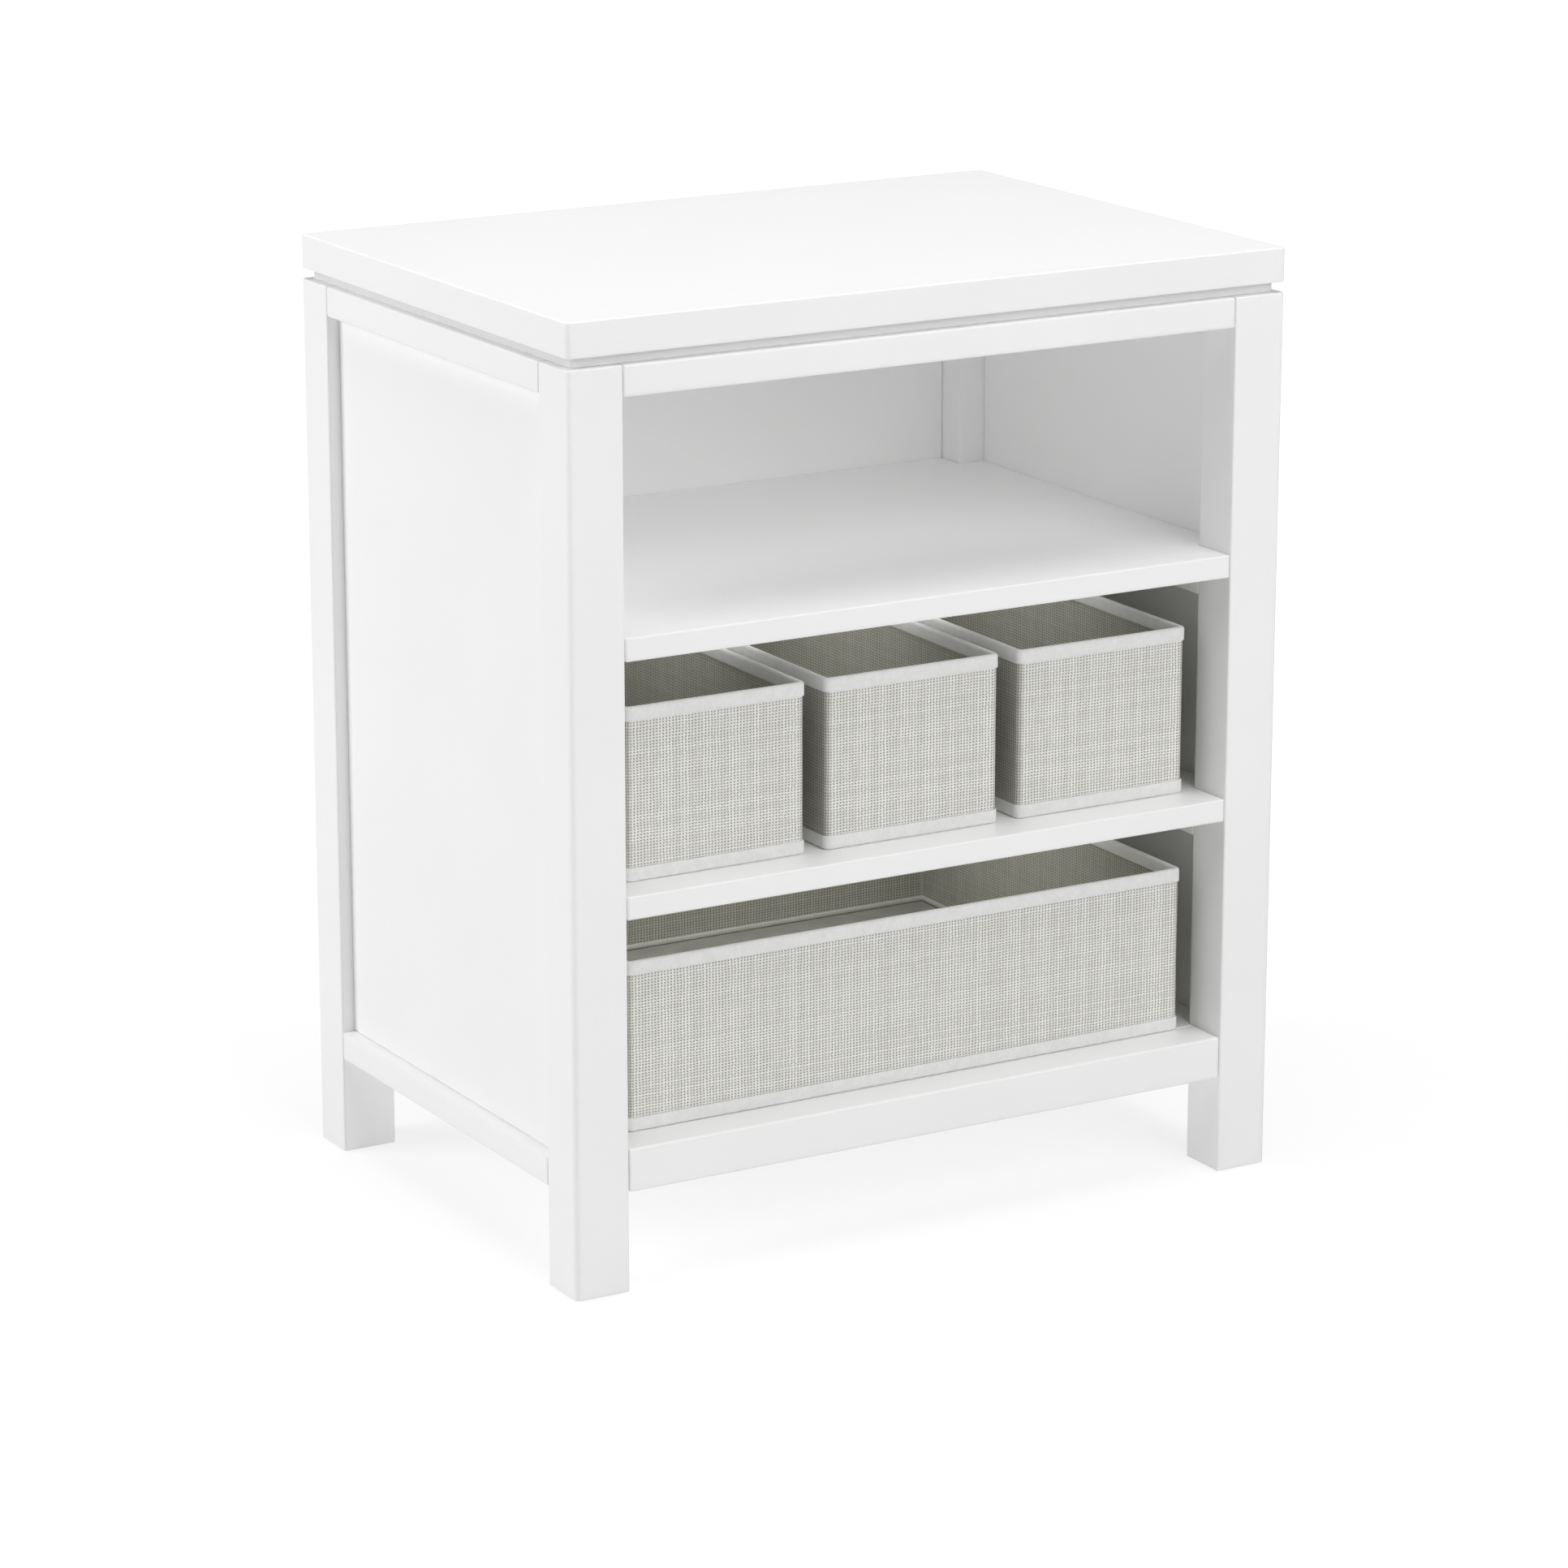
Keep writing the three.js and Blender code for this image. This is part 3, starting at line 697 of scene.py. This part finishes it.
def weave_group():
    """Plain weave in a cloth map in metres: upright warp yarns over and under level weft yarns,
    with a small gap at each corner. Puts out the relief, the gaps and each yarn's own tone."""
    tree, given, result = effect_group(
        "open_weave", {"Vector": "NodeSocketVector"}, ["Height", "Gap", "Tone"]
    )
    split = add_node(tree, "ShaderNodeSeparateXYZ", {"Vector": given["Vector"]}).outputs
    wander = {"Vector": given["Vector"], "Scale": 60.0, "Detail": 1.0}
    drift = add_node(tree, "ShaderNodeTexNoise", wander).outputs["Fac"]
    warps = arithmetic(tree, "DIVIDE", split["X"], warp_pitch)
    wefts = arithmetic(tree, "DIVIDE", split["Y"], weft_pitch)
    across_cloth = add_share(tree, drift, share=yarn_wander, onto=warps)
    up_cloth = add_share(tree, drift, share=yarn_wander, onto=wefts)
    warp_number = arithmetic(tree, "FLOOR", across_cloth)
    weft_number = arithmetic(tree, "FLOOR", up_cloth)

    def yarn(position, narrow, wide):
        """Cross-section of a yarn: 0 in the gap beside it, rising to 1 along its middle."""
        share = arithmetic(tree, "MULTIPLY_ADD", arithmetic(tree, "FRACT", position), 2.0, -1.0)
        middle = arithmetic(tree, "SUBTRACT", 1.0, arithmetic(tree, "ABSOLUTE", share))
        return smooth_step(tree, middle, narrow, wide)

    def lift(position, other_number, sign):
        """How far a yarn rides up over the yarns it crosses."""
        phase = arithmetic(tree, "ADD", arithmetic(tree, "ADD", position, -0.5), other_number)
        wave = arithmetic(tree, "COSINE", arithmetic(tree, "MULTIPLY", phase, math.pi))
        return add_share(tree, wave, share=yarn_swing * sign, onto=yarn_level)

    warp = yarn(across_cloth, narrow=0.16, wide=0.58)
    weft = yarn(up_cloth, narrow=0.20, wide=0.66)
    warp_height = arithmetic(tree, "MULTIPLY", warp, lift(up_cloth, warp_number, 1))
    weft_height = arithmetic(tree, "MULTIPLY", weft, lift(across_cloth, weft_number, -1))
    height = arithmetic(tree, "MAXIMUM", warp_height, weft_height)
    gap = arithmetic(tree, "SUBTRACT", 1.0, arithmetic(tree, "MAXIMUM", warp, weft))
    warp_tone = add_node(tree, "ShaderNodeTexWhiteNoise", {"W": warp_number}, noise_dimensions="1D")
    weft_tone = add_node(tree, "ShaderNodeTexWhiteNoise", {"W": weft_number}, noise_dimensions="1D")
    drawn = {0: given["Vector"], 1: slub_stretch}
    slub_at = add_node(tree, "ShaderNodeVectorMath", drawn, operation="MULTIPLY").outputs["Vector"]
    slub = add_node(tree, "ShaderNodeTexNoise", {"Vector": slub_at, "Scale": 1.0, "Detail": 2.0})
    over = arithmetic(tree, "GREATER_THAN", warp_height, weft_height)
    tones = {0: over, 2: weft_tone.outputs["Value"], 3: warp_tone.outputs["Value"]}
    own = add_node(tree, "ShaderNodeMix", tones).outputs[0]
    tone = add_share(tree, slub.outputs["Fac"], share=0.7, onto=share_of(tree, own, share=0.45))
    tree.links.new(height, result["Height"])
    tree.links.new(gap, result["Gap"])
    tree.links.new(tone, result["Tone"])
    return tree


open_weave = weave_group()


def woven_cloth():
    """Coarse undyed yarn, light beige-grey, with dark shadow in the gaps of the weave. Shade is
    painted into the cloth: it is darkened on its inner face and along the sides."""
    sockets = {"Specular IOR Level": 0.15, "Sheen Weight": 0.12}
    material, tree, shader = new_material("woven_cloth", sockets)
    cloth = add_node(tree, "ShaderNodeUVMap", uv_map="cloth").outputs["UV"]
    weave = use_group(tree, open_weave, {"Vector": cloth})
    pale = smooth_step(tree, weave["Tone"], start=0.25, end=0.88)
    yarns = blend_colours(tree, pale, yarn_dull, yarn_light)
    shadow = arithmetic(tree, "POWER", weave["Gap"], gap_spread)
    colour = blend_colours(tree, shadow, yarns, between_yarns)
    depth = add_node(tree, "ShaderNodeAttribute", attribute_name="depth").outputs["Fac"]
    # Painted shade: the depth mark darkens the cloth by the tint inside the bin and along its sides.
    colour = add_node(tree, "ShaderNodeMix", {0: depth, 6: colour, 7: painted_shade_tint},
                      data_type="RGBA", blend_type="MULTIPLY").outputs[2]
    roughness = between(tree, weave["Tone"], low=0.82, high=0.95)
    finish_material(tree, shader, colour, roughness, weave["Height"], depth=0.0007, strength=0.55)
    return material


cloth_finish = woven_cloth()
bins = ("bin_left", "bin_middle", "bin_right", "bin_wide")


def soft_piece(name, mesh, material, bin_name, slot, *nodes):
    """A fabric piece of one bin, standing for the CAD nodes of the same piece."""
    piece = piece_of(mesh, name, material)
    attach(piece, bin_name)
    if nodes:
        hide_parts(*nodes)
    return piece


for number, bin_name in enumerate(bins):
    low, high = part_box(f"{bin_name}_foot_binding")
    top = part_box(f"{bin_name}_rim_binding")[1].z - shell_below_rim
    foot = low.z + shell_lift
    mesh = bmesh.new()
    ring, around = plan_ring(mesh, low, high, wall_spacing)
    folded = foot + shell_fold
    fold = arc((wall_out - shell_fold, folded), shell_fold, -90, 0, steps=3)
    rows = [folded + (top - folded) * i / wall_rows for i in range(1, wall_rows + 1)]
    inner_rows = [z for z in reversed(rows) if z > low.z + shell_floor] + [low.z + shell_floor]
    section = fold + [(wall_out, z) for z in rows] + [(wall_in, z) for z in inner_rows]
    under, floor_ring = wrap(mesh, ring, section)
    for edges in (under, floor_ring):
        bmesh.ops.contextual_create(mesh, geom=edges)
    bmesh.ops.recalc_face_normals(mesh, faces=mesh.faces)
    lay_cloth(mesh, around)
    # Marks the painted shade inside the bin and on its sides.
    mark_painted_shade(mesh)
    high.z = top
    bow(mesh, low, high, wall_bow)
    ripple(mesh, wall_ripple, wall_ripple_length, seed=number * 7.3)
    soft_piece(f"{bin_name}_woven_box", mesh, cloth_finish, bin_name, "woven_fabric",
               f"{bin_name}_shell")

# ---- Rim binding of the bins --------------------------------------------------------------
# A strip of soft pressed felt folded over the raw top edge of the cloth and stuck down inside
# and out, so the rim is thick, round and a little uneven.
binding_thick = 0.0012
rim_reach_in = 0.0060
rim_inside_short = 0.0008
binding_ripple = 0.00030
rim_ripple_length = 0.021
felt_combing = (620.0, 620.0, 260.0)
felt_light = (0.865, 0.865, 0.860, 1)
felt_dull = (0.795, 0.795, 0.788, 1)


def pressed_felt():
    """Pale felt with short fibres lying every way and a faint cloudiness."""
    sockets = {"Specular IOR Level": 0.12, "Sheen Weight": 0.25}
    material, tree, shader = new_material("pressed_felt", sockets)
    place = add_node(tree, "ShaderNodeTexCoord").outputs["Object"]
    fibres = use_group(tree, speckle, {"Vector": place, "Fine": 1300.0, "Broad": 110.0})
    drawn = {0: place, 1: felt_combing}
    upright = add_node(tree, "ShaderNodeVectorMath", drawn, operation="MULTIPLY").outputs["Vector"]
    noise_inputs = {"Vector": upright, "Scale": 1.0, "Detail": 2.0}
    combed = add_node(tree, "ShaderNodeTexNoise", noise_inputs).outputs["Fac"]
    mottle = add_share(tree, combed, share=0.55, onto=share_of(tree, fibres["Broad Tone"], share=0.5))
    pale = smooth_step(tree, mottle, start=0.32, end=0.74)
    colour = blend_colours(tree, pale, felt_dull, felt_light)
    nap = add_share(tree, combed, share=0.6, onto=fibres["Fine Tone"])
    roughness = between(tree, fibres["Fine Tone"], low=0.86, high=1.0)
    finish_material(tree, shader, colour, roughness, nap, depth=0.0005, strength=0.4)
    return material


felt_finish = pressed_felt()


def closed_band(mesh, ring, section):
    """Wraps a closed section round the bin, and joins its last ring to its first."""
    first, last = wrap(mesh, ring, section)
    bmesh.ops.bridge_loops(mesh, edges=first + last)
    bmesh.ops.recalc_face_normals(mesh, faces=mesh.faces)


for number, bin_name in enumerate(bins):
    low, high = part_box(f"{bin_name}_rim_binding")
    crown = rim_reach_in / 2
    middle = (-crown, high.z - crown)
    lower_in = low.z + rim_inside_short
    half_thick = binding_thick / 2
    outside = arc((-half_thick, low.z + half_thick), half_thick, -180, 0, steps=4)
    over = arc(middle, crown, 0, 180, steps=10)
    inside_edge = (half_thick - rim_reach_in, lower_in + half_thick)
    inside = arc(inside_edge, half_thick, 180, 360, steps=4)
    back_under = arc(middle, crown - binding_thick, 180, 0, steps=6)
    mesh = bmesh.new()
    ring, around = plan_ring(mesh, low, high, wall_spacing)
    closed_band(mesh, ring, outside + [(0, (low.z + high.z) / 2)] + over + inside + back_under)
    ripple(mesh, binding_ripple, rim_ripple_length, seed=number * 3.1 + 40)
    soft_piece(f"{bin_name}_felt_rim", mesh, felt_finish, bin_name, "felt_binding",
               f"{bin_name}_rim_binding")

# ---- Foot binding of the bins -------------------------------------------------------------
# A second felt strip round the foot of each bin. It is turned under the bottom edge, so the
# bin stands on a soft rounded corner.
foot_roll = 0.0030
foot_turned_under = 0.0075
foot_ripple_length = 0.024

for number, bin_name in enumerate(bins):
    low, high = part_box(f"{bin_name}_foot_binding")
    half_thick = binding_thick / 2
    turn = (-foot_roll, low.z + foot_roll)
    rolled = arc(turn, foot_roll, -90, 0, steps=6)
    upper = arc((-half_thick, high.z - half_thick), half_thick, 0, 180, steps=4)
    rolled_back = arc(turn, foot_roll - binding_thick, 0, -90, steps=4)
    under = arc((-foot_turned_under, low.z + half_thick), half_thick, 90, 270, steps=3)
    mesh = bmesh.new()
    ring, around = plan_ring(mesh, low, high, wall_spacing)
    closed_band(mesh, ring, rolled + [(0, (low.z + high.z) / 2)] + upper + rolled_back + under)
    ripple(mesh, binding_ripple, foot_ripple_length, seed=number * 5.7 + 80)
    soft_piece(f"{bin_name}_felt_foot", mesh, felt_finish, bin_name, "felt_binding",
               f"{bin_name}_foot_binding")

# ---- Base boards of the bins --------------------------------------------------------------
# A stiff board covered in smooth lining cloth, dropped in on the bottom of each bin. The
# cover is drawn round the edges, so they are full and soft.
lining_light = (0.370, 0.367, 0.335, 1)
lining_dull = (0.315, 0.312, 0.280, 1)
base_corner = 0.0042
base_edge = 0.0028


def lining_cloth(name, light, dull):
    """Close plain cotton between two tones, its fine threads hardly showing."""
    material, tree, shader = new_material(name, {"Specular IOR Level": 0.15, "Sheen Weight": 0.1})
    place = add_node(tree, "ShaderNodeTexCoord").outputs["Object"]
    soft = use_group(tree, speckle, {"Vector": place, "Fine": 1500.0, "Broad": 45.0})
    rows = {"Vector": place, "Scale": 420.0, "Distortion": 1.5, "Detail": 1.0}
    threads = add_node(tree, "ShaderNodeTexWave", rows).outputs["Fac"]
    mixed = add_share(tree, threads, share=0.2, onto=share_of(tree, soft["Broad Tone"], share=0.8))
    colour = blend_colours(tree, smooth_step(tree, mixed, start=0.3, end=0.75), dull, light)
    surface = add_share(tree, threads, share=0.5, onto=soft["Fine Tone"])
    roughness = between(tree, soft["Fine Tone"], low=0.8, high=0.95)
    finish_material(tree, shader, colour, roughness, surface, depth=0.0002, strength=0.5)
    return material


lining_finish = lining_cloth("lining_cloth", lining_light, lining_dull)
for bin_name in bins:
    low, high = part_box(f"{bin_name}_base_board")
    mesh = eased_board(low, high, up, base_corner, base_edge)
    soft_piece(f"{bin_name}_base_cover", mesh, lining_finish, bin_name, "lining_fabric",
               f"{bin_name}_base_board")

# ---- Inner hem of the bins ----------------------------------------------------------------
# Where wall and bottom meet inside, the seam is covered by a narrow folded hem of paler
# cloth, held by a row of straight machine stitches.
hem_light = (0.690, 0.685, 0.640, 1)
hem_dull = (0.600, 0.595, 0.550, 1)
hem_height = 0.0052
hem_thick = 0.0010
hem_above_board = 0.0003
hem_off_wall = 0.0001
hem_ripple = 0.00008
hem_ripple_length = 0.02
stitch_below_top = 0.0017
stitch_pitch = 0.0046
stitch_long = 0.0015
stitch_thick = 0.00032
thread_light = (0.880, 0.875, 0.840, 1)
thread_dull = (0.760, 0.755, 0.715, 1)


def sewing_thread():
    """Pale polyester thread, its twist showing as a fine unevenness."""
    material, tree, shader = new_material("sewing_thread", {"Specular IOR Level": 0.3})
    place = add_node(tree, "ShaderNodeTexCoord").outputs["Object"]
    twist = use_group(tree, speckle, {"Vector": place, "Fine": 3500.0, "Broad": 700.0})
    pale = smooth_step(tree, twist["Broad Tone"], start=0.35, end=0.65)
    colour = blend_colours(tree, pale, thread_dull, thread_light)
    roughness = between(tree, twist["Fine Tone"], low=0.6, high=0.8)
    finish_material(tree, shader, colour, roughness, twist["Fine Tone"], depth=0.0001, strength=0.6)
    return material


def outline_places(mesh, ring):
    """Each vertex of a plan outline in order: how far along it is, where, and which way is out."""
    along = mesh.verts.layers.float["along"]
    plan = mesh.verts.layers.float_vector["plan"]
    outward = mesh.verts.layers.float_vector["outward"]
    places = [(vert[along], Vector(vert[plan]), Vector(vert[outward]))
              for vert in {v for edge in ring for v in edge.verts}]
    return sorted(places, key=lambda entry: entry[0])


def row_of_stitches(places, around, out_from_plan, height):
    """Short stitches in a row along the outline, each lying flat and running with the wall."""
    stitches = bmesh.new()
    at, index = stitch_pitch, 0
    while at < around - stitch_pitch:
        while index + 1 < len(places) and places[index + 1][0] < at:
            index += 1
        distance, spot, out = places[index]
        next_distance, next_spot, next_out = places[(index + 1) % len(places)]
        span = (next_distance - distance) or 1.0
        share = min((at - distance) / span, 1.0) if next_distance > distance else 0.0
        normal = out.lerp(next_out, share).normalized()
        where = spot.lerp(next_spot, share) + normal * out_from_plan
        where.z = height
        run = normal.cross(Vector((0, 0, 1)))
        turn = Matrix((run, normal, (0, 0, 1))).transposed().to_4x4()
        size = Matrix.Diagonal((stitch_long, stitch_thick, stitch_thick, 1))
        bmesh.ops.create_icosphere(stitches, subdivisions=1, radius=1,
                                   matrix=Matrix.Translation(where) @ turn @ size)
        at += stitch_pitch
    return stitches


hem_finish = lining_cloth("hem_cloth", hem_light, hem_dull)
thread_finish = sewing_thread()
for number, bin_name in enumerate(bins):
    low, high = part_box(f"{bin_name}_foot_binding")
    floor_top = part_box(f"{bin_name}_base_board")[1].z + hem_above_board
    half_thick = hem_thick / 2
    centre = wall_in - hem_off_wall - half_thick
    lower = arc((centre, floor_top + half_thick), half_thick, 180, 360, steps=3)
    upper = arc((centre, floor_top + hem_height - half_thick), half_thick, 0, 180, steps=3)
    mesh = bmesh.new()
    ring, around = plan_ring(mesh, low, high, wall_spacing)
    places = outline_places(mesh, ring)
    closed_band(mesh, ring, lower + upper)
    ripple(mesh, hem_ripple, hem_ripple_length, seed=number + 11.0)
    soft_piece(f"{bin_name}_hem", mesh, hem_finish, bin_name, "lining_fabric")
    height = floor_top + hem_height - stitch_below_top
    stitches = row_of_stitches(places, around, wall_in - hem_off_wall - hem_thick, height)
    soft_piece(f"{bin_name}_stitches", stitches, thread_finish, bin_name, "lining_fabric")

# ---- Floor and light ----------------------------------------------------------------------
# A pale studio floor that glows a little, an even sky, and large soft lamps above, to the left
# and in front. Small cards inside lift the bins and the upper compartment, and a glow low
# under the table lifts the legs.
floor_half = 16.0
floor_white = (0.52, 0.52, 0.52, 1)
floor_white_low = (0.48, 0.48, 0.48, 1)
floor_glow = 0.25
seen_near = (0.74, 0.74, 0.74, 1)
seen_far = (1.0, 1.0, 1.0, 1)
far_start = 0.9
far_end = 2.4
seen_floor_pale = (0.31, 0.31, 0.31, 1)
seen_floor_low = (0.29, 0.29, 0.29, 1)
sky_strength = 0.18
seen_sky_strength = 1.0
light_passes = 16

mesh = bmesh.new()
bmesh.ops.create_grid(mesh, x_segments=1, y_segments=1, size=floor_half)
floor_finish, tree, lit = new_material("studio_floor", {
    "Specular IOR Level": 0.1, "Emission Color": (1, 1, 1, 1), "Emission Strength": floor_glow})
place = add_node(tree, "ShaderNodeTexCoord").outputs["Object"]
away = add_node(tree, "ShaderNodeVectorMath", {0: place}, operation="LENGTH").outputs["Value"]
fades = blend_colours(tree, smooth_step(tree, away, start=far_start, end=far_end), seen_near, seen_far)
seen = add_node(tree, "ShaderNodeBsdfPrincipled", {
    "Specular IOR Level": 0.0, "Emission Color": fades, "Emission Strength": 1.0})
paper = use_group(tree, speckle, {"Vector": place, "Fine": 300.0, "Broad": 1.5})
paper_rough = between(tree, paper["Fine Tone"], low=0.85, high=0.95)
floor_tone = blend_colours(tree, paper["Broad Tone"], floor_white, floor_white_low)
seen_tone = blend_colours(tree, paper["Broad Tone"], seen_floor_pale, seen_floor_low)
finish_material(tree, lit, floor_tone, paper_rough, paper["Fine Tone"], depth=0.0001, strength=0.1)
finish_material(tree, seen, seen_tone, paper_rough, paper["Fine Tone"], depth=0.0001, strength=0.1)
to_camera = add_node(tree, "ShaderNodeLightPath").outputs["Is Camera Ray"]
choices = {0: to_camera, 1: lit.outputs[0], 2: seen.outputs[0]}
either = add_node(tree, "ShaderNodeMixShader", choices)
tree.links.new(either.outputs[0], tree.nodes["Material Output"].inputs["Surface"])
floor = piece_of(mesh, "studio_floor", floor_finish)

sky = bpy.data.worlds.new("even_sky")
sky.use_nodes = True
tree = sky.node_tree
lighting = tree.nodes["Background"]
lighting.inputs["Color"].default_value = (1, 1, 1, 1)
lighting.inputs["Strength"].default_value = sky_strength
plain_white = {"Color": (1, 1, 1, 1), "Strength": seen_sky_strength}
backdrop = add_node(tree, "ShaderNodeBackground", plain_white)
to_camera = add_node(tree, "ShaderNodeLightPath").outputs["Is Camera Ray"]
choices = {0: to_camera, 1: lighting.outputs[0], 2: backdrop.outputs[0]}
either = add_node(tree, "ShaderNodeMixShader", choices)
tree.links.new(either.outputs[0], tree.nodes["World Output"].inputs["Surface"])
bpy.context.scene.world = sky

soft_lamps = {
    "lamp_above": {"at": (0.0, -0.4, 5.0), "aim": (0, 0, 0.5), "size": 4.0, "power": 142.0},
    "lamp_left": {"at": (-5.6, 2.6, 2.6), "aim": (0, 0, 0.6), "size": 4.0, "power": 222.0},
    "lamp_right": {"at": (2.6, -5.4, 3.2), "aim": (0, 0, 0.5), "size": 3.5, "power": 60.0},
    "lamp_front": {"at": (0.3, -5.5, 3.6), "aim": (0, 0, 0.5), "size": 3.5, "power": 100.0},
    "lamp_low": {"at": (0.4, -6.5, 0.9), "aim": (0, 0, 0.6), "size": 1.7, "power": 14.0},
}


def hang(light, place, turn):
    """Stands a light in the scene at a place and with a turn."""
    stand = bpy.data.objects.new(light.name, light)
    stand.location = place
    stand.rotation_euler = turn
    bpy.context.scene.collection.objects.link(stand)
    return stand


def reached(name, beginnings):
    """A collection of the pieces that a small light reaches, picked by how their names begin."""
    pieces = bpy.data.collections.new(name)
    for piece in bpy.context.scene.objects:
        if piece.type == "MESH" and piece.name.startswith(beginnings):
            pieces.objects.link(piece)
    return pieces


for name, lamp in soft_lamps.items():
    light = bpy.data.lights.new(name, "AREA")
    light.shape = "DISK"
    light.size = lamp["size"]
    light.energy = lamp["power"]
    towards = Vector(lamp["aim"]) - Vector(lamp["at"])
    hang(light, lamp["at"], towards.to_track_quat("-Z", "Y").to_euler())

card_back = 0.06
card_clear = 0.003
card_size = (0.56, 0.30)
card_power = 0.60
inner_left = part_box("side_panel_left")[1].x
under_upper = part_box("shelf_upper")[0].z - card_clear
under_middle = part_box("shelf_middle")[0].z - card_clear
cards = {
    "card_upper": {"at": (0, card_back, under_upper), "turn": (0, 0, 0),
                   "size": card_size, "power": card_power, "only_bins": True},
    "card_middle": {"at": (0, card_back, under_middle), "turn": (0, 0, 0),
                    "size": card_size, "power": card_power, "only_bins": True},
    "card_side": {"at": (inner_left + card_clear, -0.13, 0.735), "turn": (0, -math.pi / 2, 0),
                  "size": (0.19, 0.22), "power": 0.085, "only_bins": False},
}
bin_cloth = reached("bin_cloth", bins)
for name, card in cards.items():
    light = bpy.data.lights.new(name, "AREA")
    light.shape = "RECTANGLE"
    light.size, light.size_y = card["size"]
    light.energy = card["power"]
    stand = hang(light, card["at"], card["turn"])
    stand.visible_camera = False
    if card["only_bins"]:
        stand.light_linking.receiver_collection = bin_cloth

feet_glow_at = (-0.10, -0.09, 0.05)
feet_glow_power = 1.45
feet_glow_radius = 0.03
light = bpy.data.lights.new("glow_under", "POINT")
light.shadow_soft_size = feet_glow_radius
light.energy = feet_glow_power
stand = hang(light, feet_glow_at, (0, 0, 0))
stand.visible_camera = False
stand.light_linking.receiver_collection = reached("legs_only", "leg_")

bpy.context.scene.cycles.diffuse_bounces = light_passes
bpy.context.scene.cycles.max_bounces = light_passes
bpy.context.scene.view_settings.view_transform = "Standard"

# ---- Camera -------------------------------------------------------------------------------
# A long lens a little above the top, off the front left corner, looking down at the table.
camera_heading = 30.32
camera_tilt = 15.42
camera_lens = 125.4
film_width = 36.0
camera_place = (-2.600, -4.435, 1.796)

camera = bpy.data.cameras.new("camera")
camera.lens = camera_lens
camera.sensor_width = film_width
camera_stand = bpy.data.objects.new("camera", camera)
camera_stand.location = camera_place
camera_stand.rotation_euler = (math.radians(90 - camera_tilt), 0, math.radians(-camera_heading))
bpy.context.scene.collection.objects.link(camera_stand)
bpy.context.scene.camera = camera_stand
